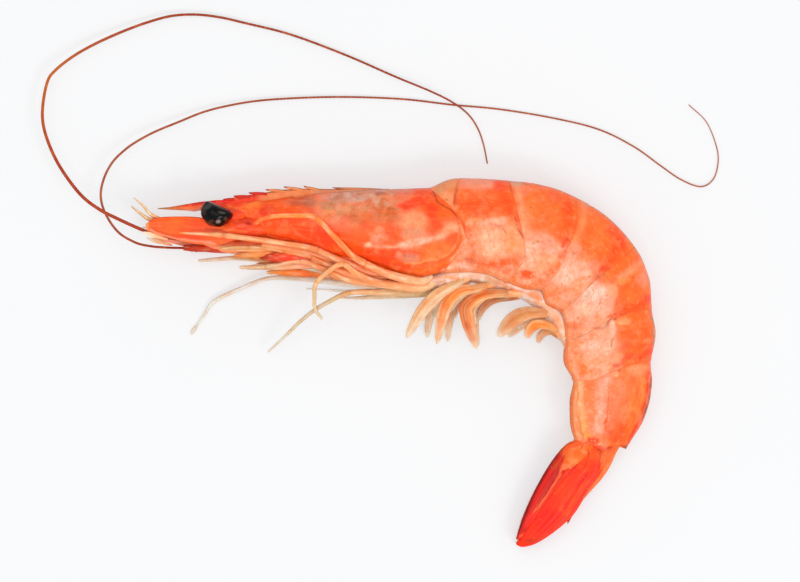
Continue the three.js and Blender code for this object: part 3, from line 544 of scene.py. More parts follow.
# The paint of each ring from above, from the large patches to the fine dots
RING_MARKS = {
    1: [
        # Painted highlight: a pale pink patch on the top of the back near its rear edge
        blob(478, 183, 25, 7, "f7a586", 0.9),
        blob(480, 195, 20, 6, "ff7c4a", 0.7),
        blob(481, 207, 26, 8, "ff5f22", 0.8),
        line(6, "ff5d20", 0.9, (500, 180), (503, 192), (509, 206), (514, 222)),
        blob(500, 184, 7, 6, "ff5428", 0.7),
        blob(445, 189, 14, 15, "f0a06a", 0.95, 0, 0.25),
        blob(441, 187, 6, 6, "e3a173", 0.6),
        blob(446, 198, 9, 7, "f9ab78", 0.8),
        blob(454, 206, 5, 5, "f8a26c", 0.9),
        dots((452, 206), (447, 200)),
        line(0.9, "ea7546", 0.8, (458, 179), (457.5, 190)),
        line(1.5, "d94a20", 0.9, (457, 190), (456, 196), (455.5, 203)),
        line(1, "e86a38", 0.6, (456, 203), (463, 205)),
        blob(463, 216, 9, 6, "ff7a34", 0.7),
        line(4.5, "fb6630", 0.75, (467, 214), (470, 232), (472, 248), (472, 258)),
        line(1.5, "ef8548", 0.6, (476, 230), (476, 240), (479, 252)),
        blob(497, 241, 21, 18, "fab083", 0.95),
        blob(491, 243, 9, 13, "fbc59e", 0.9),
        blob(499, 222, 10, 6, "fcb896", 0.9),
        blob(513, 243, 9, 12, "f6a468", 0.8),
        blob(511, 222, 6, 6, "fb9458", 0.6),
        blob(472, 222, 6, 5, "fba266", 0.6),
        line(0.9, "e08560", 0.8, (494, 224.5), (499, 227), (503, 231), (505, 236)),
        line(0.8, "dca888", 0.7, (488, 233), (490, 241), (489, 248)),
        line(0.7, "e0a480", 0.5, (484, 238), (485, 247)),
        dots((485, 219.5), (484, 214.5), (505, 233), (479, 211), (476, 215), (504, 214), (512, 213)),
        line(5, "fc6930", 0.95, (478, 265), (495, 265), (508, 263), (520, 262)),
        blob(504, 269, 8, 4, "ee744a", 0.7),
        line(2, "e9966a", 0.7, (474, 271), (488, 275), (503, 278)),
        line(1.3, "f9b8a0", 0.7, (463, 268), (476, 270)),
        line(1.1, "c44a1c", 0.9, (515, 218), (517, 226), (520, 232), (524, 238)),
        line(0.8, "c98a66", 0.6, (525, 241), (526, 251), (523, 260), (517, 268), (510, 278)),
        line(3.4, "f6c4a0", 0.9, (449, 268), (458, 270), (470, 272), (485, 275), (500, 278)),
        blob(470, 262, 6, 2.2, "d0583c", 0.8, -12),
        line(2.8, "fbbca6", 0.95, (459, 265), (468, 269), (477, 274)),
        blob(480, 274, 7, 2.4, "fbd2a8", 0.8),
        speckle(492, 236, 28, 24, 0.5),
        speckle(480, 208, 30, 14, 0.3),
    ],
    2: [
        blob(543, 206, 24, 22, "fd7c40", 0.8),
        blob(531, 206, 8, 12, "fb8c4a", 0.6),
        line(4.8, "fba577", 0.95, (516, 180), (519, 200), (522, 214), (525, 230)),
        blob(517, 183, 6, 4, "e2bda0", 0.8),
        blob(526, 191, 4, 5, "ff9678", 0.5),
        line(0.9, "b07450", 0.7, (523, 183), (528, 184.5)),
        line(1.1, "c44a1c", 0.8, (517, 222), (520, 231), (525, 239)),
        # Painted highlight: a short pale-yellow stroke
        line(0.9, "ffa868", 0.7, (525, 219), (533, 218)),
        line(0.8, "e8703c", 0.5, (524, 213), (531, 222)),
        blob(552, 197, 8, 5, "ff6a44", 0.6),
        line(6, "ff6526", 0.9, (569, 196), (569, 212), (567, 226), (565, 237)),
        blob(567, 209, 6, 6, "fa581a", 0.7),
        line(1.2, "ee8636", 0.6, (575, 203), (575, 215)),
        dots((532, 208.5), (545, 218), (551, 223), (536, 223), (541, 212), (553, 207), (529, 213)),
        speckle(543, 215, 22, 18, 0.6),
        blob(536, 250, 17, 16, "fcb694", 0.95),
        blob(532, 256, 10, 12, "fdcab0", 0.9),
        blob(545, 248, 8, 9, "fba488", 0.85),
        blob(545, 263, 14, 9, "f9ab7a", 0.85),
        blob(523, 264, 5, 5, "f4b088", 0.7),
        blob(541, 238, 11, 3, "fba888", 0.8),
        blob(549, 241, 4, 2, "f6907c", 0.5),
        dots((537.5, 241.5), (543, 250.5), (527, 249), (554, 248), (533, 243)),
        blob(537.5, 241.5, 2.8, 1.8, "c08038", 0.8),
        speckle(538, 250, 18, 16, 0.5),
        blob(565, 239.5, 4, 2, "dd3d14", 0.9),
        blob(562, 246, 3.6, 5.5, "ee5020", 0.9),
        blob(559, 254, 3, 3.5, "f0704a", 0.8),
        blob(525, 275, 9, 4.5, "f2602a", 0.95),
        blob(511, 276, 6, 5, "f6843a", 0.8),
        blob(531, 282, 14, 2.4, "fb9c74", 0.8),
        line(2.2, "f2783a", 0.9, (559, 262), (553, 270), (546, 277), (538, 283), (527, 287), (513, 287)),
        blob(552, 270, 3, 4.5, "f46c28", 0.8),
    ],
    3: [
        line(4.4, "fa9a62", 0.9, (583, 201), (583, 214), (580, 229), (573, 245)),
        blob(585, 204, 5, 5, "f4a078", 0.7),
        line(1.2, "e87838", 0.7, (562, 262), (556, 270), (548, 277), (540, 284)),
        blob(598, 235, 8, 16, "fb8444", 0.6, -20),
        blob(593, 216, 6, 8, "fb8248", 0.5),
        line(6.5, "ff5f24", 0.95, (625, 236), (620, 247), (611, 257), (604, 266), (598, 273)),
        blob(621, 242, 4, 5, "f9541c", 0.8),
        blob(630, 244, 4, 7, "fb8030", 0.85, 30),
        blob(614, 230, 6, 6, "fb5c34", 0.6),
        blob(604, 268, 6, 2, "ec4a12", 0.8),
        blob(597.5, 275, 2.4, 1.6, "bf340c", 0.95),
        line(0.9, "d8643c", 0.6, (600, 213), (612, 222), (623, 234)),
        blob(571, 272, 20, 14, "fcbb9e", 0.95),
        blob(563, 276, 10, 9, "fbcfb4", 0.9),
        blob(575, 249, 5, 7, "fb9c80", 0.7),
        blob(587, 258, 10, 5, "f68c52", 0.7),
        blob(594, 266, 7, 4, "faa07c", 0.7),
        blob(577, 285, 11, 5, "fa9f68", 0.85, 20),
        line(0.9, "dd8e60", 0.7, (582, 278), (592, 276)),
        blob(551, 296, 12, 7, "f88f5a", 0.9, 10),
        blob(567, 297, 8, 5, "fbac8c", 0.8),
        line(2.2, "e2642a", 0.9, (546, 305), (556, 308), (563, 310)),
        line(0.9, "c47a50", 0.6, (606, 268), (600, 277), (588, 287), (580, 295), (572, 303), (565, 309)),
        dots((582, 249), (591, 255), (573, 254), (586, 262), (589, 276)),
        speckle(580, 262, 22, 18, 0.45),
        speckle(603, 238, 20, 18, 0.25),
    ],
    4: [
        line(4.6, "fba072", 0.95, (641, 263), (631, 270), (621, 277), (611, 284), (604, 290)),
        blob(643, 279, 6, 8, "fc9c7a", 0.8),
        line(1, "c47a50", 0.7, (606, 269), (601, 277), (589, 287), (581, 295), (573, 303)),
        blob(629, 291, 14, 8, "fe7238", 0.8),
        blob(623, 282, 9, 2.4, "fb9c50", 0.7, 15),
        blob(613, 281, 5, 4, "fb6c3e", 0.8),
        line(1, "d46c42", 0.7, (632, 279), (639, 278.5)),
        line(4.6, "ff5a1f", 0.95, (650, 297), (641, 304), (629, 309), (618, 310)),
        blob(647, 299, 5, 5, "ff4b18", 0.8),
        blob(647, 290, 4, 3, "fb8642", 0.6),
        line(1, "ea4e18", 0.7, (626, 304), (640, 303)),
        blob(592, 300, 19, 16, "fcc2a8", 0.97),
        # Painted highlight: a paler patch on the pale flank
        blob(590, 292, 12, 10, "fbd6c2", 0.9),
        blob(582, 309, 7, 5, "f9d0ae", 0.8),
        blob(609, 304, 4, 8, "fbb59c", 0.8),
        blob(612, 293, 4.5, 6, "fbae7e", 0.8),
        line(1.3, "cf7a4c", 0.85, (617, 298), (616, 307)),
        blob(619, 299, 3, 7, "fb7c44", 0.7),
        blob(573, 316, 11, 7, "f7b694", 0.9),
        blob(572, 325, 8, 3.6, "f0865a", 0.85),
        blob(590, 323, 8, 4, "fbae90", 0.8),
        blob(602, 321, 7, 4, "fba474", 0.7),
        line(1.1, "b06a44", 0.9, (613, 317), (609, 322), (604, 327), (599, 328.5), (594, 327)),
        line(1, "cc8458", 0.8, (594, 327), (586, 333), (579, 339), (570, 344)),
        line(0.8, "dcae90", 0.8, (594, 309.5), (600, 310)),
        blob(615, 314.5, 2.4, 1.7, "d02c08", 0.95),
        line(1.1, "de4418", 0.8, (607, 317), (615, 314.5), (622, 314.5), (628, 313)),
        dots((585, 296), (598, 303), (578, 318), (606, 296)),
        speckle(592, 304, 20, 20, 0.4),
    ],
    5: [
        blob(635, 336, 18, 24, "ff7238", 0.8, 0, 0.2),
        line(2, "ff8450", 0.6, (622, 323), (650, 321)),
        line(3.5, "ff6630", 0.7, (620, 333), (650, 331)),
        line(1.2, "fb8c5c", 0.6, (622, 341), (650, 340)),
        line(2.6, "ff5c24", 0.7, (620, 348), (650, 345)),
        line(3.4, "fc5019", 0.95, (622, 358), (637, 357), (652, 352)),
        blob(623, 320, 6, 4, "fba870", 0.9),
        blob(612, 326, 4, 9, "fcc2a6", 0.95),
        blob(614.5, 319, 2.2, 1.8, "ab2a10", 0.9),
        line(1.1, "b06a44", 0.9, (613, 317), (609, 322), (604, 327), (599, 328.5), (594, 327)),
        line(1, "cc8458", 0.8, (594, 327), (586, 333), (579, 339), (570, 344)),
        line(0.9, "8a5038", 0.8, (652, 318), (654, 332), (654, 348)),
        line(1.6, "d9a888", 0.6, (653.5, 318), (655, 332), (655, 346)),
        blob(596, 344, 19, 14, "fcba9a", 0.97),
        blob(604, 346, 7, 14, "fdbd9e", 0.8),
        blob(586, 347, 6, 5, "ecc4aa", 0.8),
        blob(574, 336, 8, 9, "f7ae88", 0.8),
        blob(593, 337, 7, 4, "f99468", 0.75),
        blob(576, 343, 9, 4, "f49c64", 0.8),
        line(0.8, "d8946c", 0.6, (585, 341), (597, 340)),
        line(1, "9c5e38", 0.95, (612, 338), (611, 342), (610.8, 347)),
        blob(577, 364, 12, 12, "f89e68", 0.9),
        blob(584, 370, 7, 7, "fb7c3a", 0.9),
        blob(572, 354, 6, 8, "f8a880", 0.8),
        blob(601, 362, 13, 7, "f9a474", 0.8),
        blob(618, 357, 4, 3, "fba070", 0.7),
        line(1.4, "d83a0c", 0.9, (614, 364.5), (622, 363)),
        dots((581, 356), (598, 352), (590, 360), (605, 338)),
        speckle(593, 348, 20, 22, 0.4),
    ],
    6: [
        blob(625, 386, 18, 14, "fd7c4a", 0.8),
        blob(634, 404, 8, 9, "fb8240", 0.8),
        blob(614, 410, 8, 16, "fb7042", 0.6),
        blob(616, 432, 13, 12, "fb5c2c", 0.85),
        blob(627, 431, 3, 8, "f97030", 0.7, -20),
        blob(638, 370, 9, 6, "fba070", 0.85),
        line(2.2, "f68e46", 0.8, (641, 378), (643, 390), (642, 404)),
        line(
            1.7, "e8401c", 0.9,
            (648, 374), (649.5, 386), (648, 397), (643, 411), (638, 424), (632, 437), (627, 447),
        ),
        line(0.9, "8a4428", 0.85, (651.5, 366), (652.5, 382), (651, 394), (646.5, 408), (641, 421)),
        line(5.5, "fdb094", 0.97, (604, 376), (603, 392), (600, 408), (598, 428)),
        line(0.8, "e39c78", 0.7, (596, 377), (610, 376)),
        blob(613, 373, 4, 4, "fbb284", 0.8),
        line(3.6, "fb8a50", 0.85, (588, 386), (588, 402), (589, 420)),
        line(4.8, "fdc892", 0.95, (578.5, 382), (579, 399), (579.7, 413)),
        line(4.2, "f8bc70", 0.9, (581, 418), (583.5, 431)),
        line(2.6, "f09c44", 0.8, (584, 434), (591, 439)),
        line(2.6, "f8ae7a", 0.8, (573, 384), (572, 400), (573, 418), (577, 438)),
        line(0.9, "dd8440", 0.85, (576, 384), (576.5, 402), (577, 416), (580, 429), (584, 440)),
        line(0.8, "b07a5c", 0.7, (571.5, 384), (571, 400), (572, 418), (576, 438)),
        dots((608, 388), (607, 411.5), (607, 405), (605, 422), (604, 427), (592.5, 398), (592, 411)),
        line(1.4, "ea6430", 0.7, (606, 418), (604, 430)),
        blob(592, 443, 8, 5, "f44c26", 0.95),
        blob(600, 450, 9, 3.6, "fb4020", 0.95),
        dots((589, 442.5), (592.8, 443), (597, 451)),
        blob(611, 448.5, 3.5, 1.8, "c42410", 0.9),
        line(1, "b83a1c", 0.8, (611, 449), (619, 447), (625, 447.5)),
        blob(626.5, 448.5, 2, 2, "5a140e", 0.9),
        blob(618.7, 368.5, 2.3, 1.8, "b81a0a", 0.95),
        speckle(612, 400, 20, 26, 0.3),
    ],
}
# A crease is a broken line in pixels, its width in pixels and its height in millimetres
RING_CREASES = {
    1: [
        (((458, 177), (457.5, 190), (456, 203), (452, 210)), 0.7, -0.14),
        (((494, 224), (499, 227), (503, 232), (505, 238), (503, 248)), 1, -0.08),
        (((478, 262), (495, 260), (512, 258), (522, 255)), 1.6, 0.1),
    ],
    2: [
        (((529, 180), (532, 200), (536, 218), (541, 234)), 1.6, -0.08),
        (((530, 238), (538, 236), (550, 238), (556, 244)), 1, -0.1),
        (((528, 266), (540, 272), (552, 268)), 1.4, 0.1),
    ],
    3: [
        (((590, 202), (592, 216), (588, 235), (580, 252), (570, 262)), 1.6, -0.08),
        (((576, 266), (588, 264), (598, 262)), 1, -0.09),
        (((560, 290), (572, 288), (584, 281)), 1.4, 0.1),
    ],
    4: [
        (((646, 276), (632, 282), (616, 291), (606, 298)), 1.6, -0.08),
        (((617, 296), (616, 308), (609, 312)), 0.9, -0.12),
        (((566, 320), (580, 321), (596, 316)), 1.2, 0.12),
        (((574, 330), (590, 327), (602, 320)), 1.2, 0.1),
    ],
    5: [
        (((652, 326), (636, 328), (622, 331)), 1.4, -0.07),
        (((612, 337), (611, 342), (610.8, 348)), 0.9, -0.14),
        (((576, 346), (588, 341), (600, 340)), 1.2, 0.1),
        (((578, 358), (588, 364), (590, 374)), 1.6, 0.14),
    ],
    6: [
        (((608, 380), (607, 400), (605, 420), (602, 438)), 1, -0.12),
        (((593, 384), (593, 402), (592, 420)), 1.2, -0.09),
        (((577, 384), (577, 402), (578, 418), (583, 438)), 1, -0.16),
        (((646, 372), (648, 388), (645, 404), (638, 424), (629, 442)), 1.4, 0.14),
        (((596, 376), (610, 375)), 0.8, -0.1),
    ],
}
EDGE_LINES = {1: "b87a5a", 2: "c07a54", 3: "b8704c", 4: "c88a64", 5: "a86a48", 6: "8a4428"}


def ring_paint(shell, number):
    """The colours of one ring of the tail."""
    along, down, outer = shell.along, shell.down, shell.outer
    paint = Paint(shell.points, ORANGE, seed=40 + number, specks=0.12)
    paint.mark(ease(0.42, 0.62, down + 0.12 * rough(shell.points, 5.0, 3)), PALE, 0.75 if number < 6 else 0.3)
    paint.draw(RING_MARKS[number])
    streaks = np.column_stack([along * 9, down * 40, 0 * down + number])
    paint.grain(streaks, 90 + number, 0.1, 0.7, "ffa070", 0.3, outer)
    paint.grain(streaks * [1.4, 0.8, 1] + 7, 91 + number, 0.2, 0.7, "f05a20", 0.28, outer)
    paint.mottle(1.1, "ea7c46", 0.28, 80 + number, ease(0.35, 0.5, down), 0.2)
    paint.mottle(0.9, "ffd8bc", 0.3, 85 + number, ease(0.4, 0.55, down), 0.25)
    flank = ease(0.4, 0.55, down) * outer * (1 if number < 6 else 0.45)
    paint.veins(2.6, 0.08, "d8845c", 0.55, 60 + number, flank)
    paint.veins(1.4, 0.09, "f09a74", 0.5, 70 + number, flank)
    paint.mottle(2.0, "ecc6aa", 0.4, 130 + number, flank, 0.1)
    paint.mottle(1.6, "f89a6c", 0.35, 135 + number, flank, 0.15)
    paint.mottle(2.4, "ffa070", 0.3, 140 + number, (1 - ease(0.4, 0.55, down)) * outer, 0.1)
    edge = 0.5 + 0.5 * rough(shell.points, 2.5, 95 + number)
    paint.mark((1 - ease(0.004, 0.02, down)) * np.clip(edge, 0.2, 1), EDGE_LINES[number], 0.8)
    hem, low = ease(0.978, 0.99, along), ease(0.45, 0.8, down)
    paint.mark(hem * np.clip(edge + 0.2, 0, 1) * (1 - low), "d05a2c", 0.4)
    paint.mark(hem * low * outer, "e09a70", 0.4)
    paint.mark(ease(0.955, 0.975, down) * outer, "e27a40", 0.6)
    paint.mark(shell.inner, FLESH)
    paint.mark(shell.inner * ease(0.2, 0.6, rough(shell.points, 3.0, 17)), "efae86", 0.6)
    return paint.rgba()


def add_ring(number):
    """One ring of the tail's shell, with its creases."""
    first, last = RING_ENDS[number - 1], RING_ENDS[number]
    shell = Shell(ABDOMEN_RIBS, first, last, RING_STEP, RING_LIP)
    relief = ring_relief(shell, 100 + number)
    for crease in RING_CREASES[number]:
        relief += ridge(shell.plan, *crease)
    shell.raise_by(relief)
    body = shell.body(ring_paint(shell, number))
    add_piece(f"tail_ring_{number}", [body], "tail_shell", f"segment_{number}")


for ring_number in range(1, 7):
    add_ring(ring_number)

HEAD_MARKS = [
    blob(262, 205, 40, 10, "ff6a2a", 0.8, 4),
    blob(250, 204, 11, 4, "ff8e40", 0.75, -8),
    blob(245, 202, 13, 2.4, "fb3418", 0.7, 8),
    blob(305, 230, 50, 15, "ff5a22", 0.85, -4),
    blob(320, 236, 16, 12, "ff4c1e", 0.8, -20),
    blob(267, 212, 8, 5, "ee3c16", 0.75, 20),
    blob(252, 230, 22, 5, "fa7a40", 0.8, -8),
    blob(284, 231, 7, 3, "ff8050", 0.7),
    blob(295, 192.5, 30, 4.5, "ef9a5e", 0.95, 2, 0.3),
    line(1.3, "d83a1e", 0.9, (268, 196), (282, 197.5), (300, 198)),
    blob(302, 203, 15, 5, "d9603e", 0.8),
    blob(309, 203, 8, 5, "bf6850", 0.75),
    blob(317, 192.5, 4.5, 2.2, "b82c10", 0.95, 12),
    line(1, "bb4a2c", 0.85, (302, 197), (315, 196)),
    line(1.6, "f5a06c", 0.7, (306, 191), (330, 190.5)),
    blob(363, 209, 50, 20, "eca47c", 0.85),
    blob(351, 197, 24, 6, "e4b09a", 0.95),
    blob(392, 191, 26, 4, "dd9e88", 0.85),
    blob(328, 206, 10, 5, "d39a78", 0.9),
    blob(319, 213, 6, 6, "f6916a", 0.8),
    blob(329, 214, 5, 5, "f0a266", 0.8),
    blob(350, 212, 14, 5, "e89c70", 0.85),
    blob(381, 194.5, 6, 2.2, "b56c50", 0.8, 5),
    blob(384, 206, 6, 4.5, "d47a4c", 0.85, 30),
    blob(366, 214, 12, 4, "e08c5c", 0.7, -6),
    blob(377, 215, 7, 3, "d06c44", 0.8, 20),
    blob(370, 221, 10, 4, "dd6c44", 0.7, 10),
    blob(391, 214, 4, 5, "c0582e", 0.9),
    blob(346, 222, 6, 5, "fb8460", 0.7),
    speckle(366, 208, 44, 18, 0.7),
    blob(411, 204, 15, 5.5, "fc431c", 0.95, 8),
    blob(420, 195, 9, 7, "f9542e", 0.9),
    blob(404, 194, 8, 6, "f58262", 0.7, 20),
    blob(434, 216, 8, 15, "fb5824", 0.95, 18),
    blob(432, 213, 3.5, 9, "ff4a20", 0.7, 14),
    blob(446, 216, 7, 8, "fb6c30", 0.8),
    blob(412, 222, 17, 10, "f2a070", 0.97, 0, 0.3),
    blob(410, 219, 9, 6, "f8ae7e", 0.8),
    blob(413, 234, 13, 5, "e29c78", 0.85),
    line(1.2, "cf6a38", 0.6, (428, 228), (432, 231), (442, 229)),
    line(1.8, "f8b898", 0.65, (366, 246.5), (384, 247), (400, 246), (414, 243)),
    line(4.2, "f8c2a0", 0.9, (402, 246), (414, 243), (426, 240), (442, 236), (456, 228)),
    blob(378, 238, 8, 6, "fbb494", 0.75, 20),
    blob(420, 241, 8, 4, "fbccb0", 0.9, 10),
    blob(450, 229, 8, 6, "f9a878", 0.85, 30),
    blob(376, 219, 26, 8, "ea6a38", 0.7),
    blob(372, 232, 22, 8, "fa6a38", 0.7),
    blob(392, 230, 9, 9, "f9622c", 0.7),
    blob(366, 227, 6, 5, "fb5c30", 0.6),
    blob(379, 229.5, 4, 4.4, "fb9068", 0.9),
    blob(377, 239.5, 5, 3.6, "fba482", 0.9, 20),
    blob(368, 245.4, 4.2, 2.2, "ffd6a6", 0.85, 10),
    dots((382, 241), (378, 235), (398, 226), (405, 230)),
    blob(386, 254, 30, 5, "f9501e", 0.9, 2),
    blob(384, 263, 22, 5, "f0521f", 0.9, -18),
    blob(360, 252, 9, 6, "f95c2c", 0.8),
    blob(410, 258, 10, 6, "dd8a6c", 0.9),
    blob(400, 255, 4, 4, "fb9270", 0.8),
    dots((420, 258), (406, 255)),
    blob(438, 251, 16, 10, "ff8040", 0.9, 25),
    blob(452, 239, 6, 6, "fb6026", 0.9),
    line(1, "dd6226", 0.85, (458, 246), (452, 254), (442, 260), (428, 264), (408, 268)),
    line(1, "fba462", 0.8, (455, 246), (447, 254), (436, 259), (424, 262), (406, 265)),
    line(2.4, "ff7a2e", 0.9, (460, 252), (450, 261), (436, 267), (416, 271)),
    line(1.7, "fbac7e", 0.95, (461, 227), (463.5, 240), (461, 250), (452, 260)),
    line(0.8, "e08a58", 0.7, (459, 222), (458.5, 236), (457.5, 247)),
    line(0.7, "e2682c", 0.8, (463, 226), (466, 234), (467, 246)),
    line(0.9, "b8481c", 0.95, (431, 187), (434, 199), (441, 205), (450, 211), (457, 217), (459, 224)),
    line(1.1, "c04818", 0.85, (357, 255), (372, 262), (385, 267), (400, 272), (415, 276), (430, 277)),
    blob(438, 275, 4.5, 1.4, "b25c30", 0.9, 8),
    blob(445, 274, 4, 3.6, "f8b298", 0.95),
    line(1.1, "b0401a", 0.85, (255, 236), (272, 238.5), (292, 241.5), (312, 246), (320, 247.5)),
    line(0.8, "d0501f", 0.7, (343, 240), (352, 250)),
    blob(249.6, 223.8, 3.4, 1.8, "bd2812", 0.95, -12),
    blob(258, 225, 2.6, 1.2, "d23a20", 0.85, -12),
    blob(261.5, 234.5, 2.2, 2, "a8300f", 0.95),
    blob(243, 222, 12, 4.5, "e04428", 0.75, -6),
    line(1.6, "cf3a22", 0.8, (232, 226), (240, 225.5)),
    blob(236, 216, 6, 7, "c44022", 0.8),
    line(0.9, "fb9070", 0.7, (230, 209), (246, 211)),
    line(1.2, "c8481f", 0.6, (340, 250), (352, 257)),
]
HEAD_CREASES = [
    (((461, 226), (463.5, 240), (460, 251), (450, 260), (436, 266), (414, 270)), 2.2, 0.26),
    (((457, 228), (458, 240), (454, 250), (443, 258), (428, 263), (408, 267)), 1, -0.2),
    (((262, 200), (290, 200), (320, 199), (345, 197), (372, 196)), 2.4, -0.24),
    (((243, 222), (262, 234), (290, 240), (318, 246)), 1.4, -0.18),
    (((300, 232), (330, 226), (352, 214), (362, 200)), 5, -0.22),
    (((240, 214), (260, 218), (282, 221)), 2, 0.14),
    (((366, 246), (400, 246), (426, 240), (448, 232)), 2, 0.12),
    (((352, 248), (380, 260), (410, 270)), 3, -0.12),
    (((398, 213), (414, 228), (410, 238)), 2, -0.1),
]


# Where the brown patch of the head shell begins and ends, in pixels
BROWN_PATCH = ((315, 340), (388, 408))


def add_carapace():
    """The head shell with its beak."""
    shell = Shell(CARAPACE_RIBS, 0, len(CARAPACE_RIBS) - 1, HEAD_STEP, 0)
    relief = 0.10 * rough(shell.points, 8.0, 200, 2) + 0.022 * rough(shell.points, 1.0, 207, 2)
    for crease in HEAD_CREASES:
        relief += ridge(shell.plan, *crease)
    shell.raise_by(relief)
    along, down, outer = shell.along, shell.down, shell.outer
    paint = Paint(shell.points, "ff6a34", seed=30, specks=0.12)
    paint.mottle(4.0, "ff5526", 0.4, 31)
    paint.draw(HEAD_MARKS)
    reach = shell.plan[:, 0] / PIXEL + PHOTO_ZERO[0]
    front, rear = BROWN_PATCH
    hind = ease(*front, reach) * (1 - ease(*rear, reach)) * (1 - ease(0.3, 0.6, down))
    paint.mottle(3.2, "c0704c", 0.45, 33, hind, 0.1)
    paint.mottle(2.0, "d8743c", 0.45, 35, hind, 0.1)
    # The pale patches thicken towards the top edge: painted light that offsets the shading there
    high = ease(15.5, 17.5, shell.plan[:, 1])
    paint.mottle(2.4, "eec4b0", 0.5, 36, hind * (0.25 + 0.75 * high), 0.1)
    paint.veins(3.0, 0.10, "b8684a", 0.4, 45, hind)
    paint.veins(2.8, 0.06, "e4501c", 0.5, 46, outer * ease(0.25, 0.4, down))
    paint.veins(3.6, 0.12, "ff9a68", 0.28, 47, outer * (1 - hind))
    paint.mottle(1.8, "ff9a68", 0.3, 34, 1.0, 0.2)
    paint.mottle(1.4, "ee4818", 0.25, 37, 1.0, 0.2)
    streaks = np.column_stack([along * 7, down * 26, 0 * down])
    paint.grain(streaks, 38, 0.15, 0.7, "ff8a58", 0.3, outer)
    edge = np.clip(0.6 + 0.6 * rough(shell.points, 2.5, 39), 0.1, 1)
    paint.mark((1 - ease(0.004, 0.02, down)) * edge * ease(0.45, 0.55, along), "a8705a", 0.7)
    paint.mark(ease(0.965, 0.985, down) * outer, "d8602c", 0.7)
    paint.mark(shell.inner, FLESH)
    add_piece("head_shell", [shell.body(paint.rgba()), *beak_bodies()], "head_shell", "carapace")


BEAK_TOP = [
    (-49, 15.75), (-46.3, 16), (-43, 16.6), (-39.6, 17.15), (-36.4, 17.5), (-34.6, 17.6), (-32.3, 18.1),
    (-29, 18.65), (-25.3, 19.2), (-21.3, 19.85), (-16.9, 20.05), (-10.7, 19.95), (-4, 20), (2, 20),
]
BEAK_LOW = [
    (-49, 15.55), (-42.3, 15.2), (-41, 15), (-38.6, 15.5), (-32.7, 15.3), (-26.5, 15.8), (-10.4, 18),
    (2, 19),
]
TOOTH_TIPS = seen(
    (223, 199), (233.5, 195.6), (248.5, 192.4), (265.5, 189.2), (283.5, 186.3), (303.5, 185.8), (332, 187.3)
)
TOOTH_ENDS = seen((234, 198), (250, 195.4), (267, 192.6), (285, 190), (305, 189), (323, 190), (392, 189.4))


def beak_bodies():
    """The beak: a thin upright blade with a rib along each face, and its low forward-pointing teeth."""
    x = np.linspace(BEAK_TOP[0][0], BEAK_TOP[-1][0], 260)
    top = np.interp(x, *np.array(BEAK_TOP).T)
    low = np.interp(x, *np.array(BEAK_LOW).T)
    half = 0.14 + 0.55 * ((x - x[0]) / (x[-1] - x[0])) ** 0.8
    turn = angles(24)
    high_share = 0.5 + 0.5 * np.cos(turn)
    bulge = np.sign(np.sin(turn)) * np.abs(np.sin(turn)) ** 0.8 * (1.15 - 0.6 * high_share)
    bulge *= 1 + 0.4 * np.exp(-(((high_share - 0.35) / 0.12) ** 2))
    upright = low[:, None] + (top - low)[:, None] * high_share
    rings = np.stack([x[:, None] + 0 * turn, upright, half[:, None] * bulge], -1)
    paint = Paint(rings, "fb4a22", 0.2, 50)
    height = np.tile(high_share, len(x))
    reach = np.repeat(x, len(turn))
    paint.mark(ease(0.6, 0.88, height), "d02810", 0.9)
    paint.draw([blob(222, 202, 12, 3, "f9281a", 0.9, 8)])
    front = 1 - ease(-40.0, -36.0, reach)
    paint.mark((1 - ease(0.45, 0.7, height)) * front, "f6824a", 0.85)
    paint.mark(1 - ease(0.15, 0.35, height), "f8a888", 0.85)
    paint.mark((1 - ease(-48.5, -41.0, reach)), "c48a54", 0.9)
    paint.mark((1 - ease(-48.9, -43.5, reach)) * ease(0.5, 0.8, height), "7a3a1c", 0.7)
    paint.mark(ease(-28.0, -25.2, reach), "f2a066", 0.9)
    paint.mark(ease(-16.0, -12.0, reach), "e6a88c", 0.85)
    paint.mark(ease(-27.0, -25.0, reach) * ease(0.85, 0.97, height), "95533a", 0.85)
    paint.mottle(0.8, "ff8a50", 0.35, 51)
    bodies = [closed_body(rings, paint.rgba())]
    for tip, end in zip(TOOTH_TIPS, TOOTH_ENDS):
        bodies.append(tooth(tip, end))
    return bodies


def tooth(tip, end):
    """A low tooth of the beak: sharp at its front tip, its top edge falling back into the blade."""
    share = np.linspace(0, 1, 26)
    top = tip + (end - tip) * share[:, None]
    top[:, 1] += 0.12 * np.sin(share * math.pi)
    tall = 0.05 + 0.75 * share**0.35
    wide = 0.04 + 0.24 * share**0.6
    turn = angles(14)
    upright = top[:, 1:2] - tall[:, None] * (0.5 - 0.5 * np.cos(turn))
    across = wide[:, None] * np.sin(turn) * (1.2 - 0.5 * np.cos(turn))
    rings = np.stack([top[:, 0:1] + 0 * turn, upright, across], -1)
    front = tip[0] < -25.5
    paint = Paint(rings, "e2341a" if front else "f0a06a", 0.15, 52)
    near_top = np.tile(0.5 + 0.5 * np.cos(turn), len(share))
    paint.mark(ease(0.7, 0.93, near_top), "b3200f" if front else "8c4a30", 0.85)
    paint.mark(np.repeat(1 - ease(0.05, 0.25, share), len(turn)), "8c3018", 0.85)
    return closed_body(rings, paint.rgba())


add_carapace()

# Limbs


def tones_along(share, tones):
    """Paints spread evenly along a share of the way."""
    stops = np.array([tint(tone) for tone in tones])
    spread = np.linspace(0, 1, len(tones))
    return np.column_stack([np.interp(share, spread, stops[:, k]) for k in range(3)])


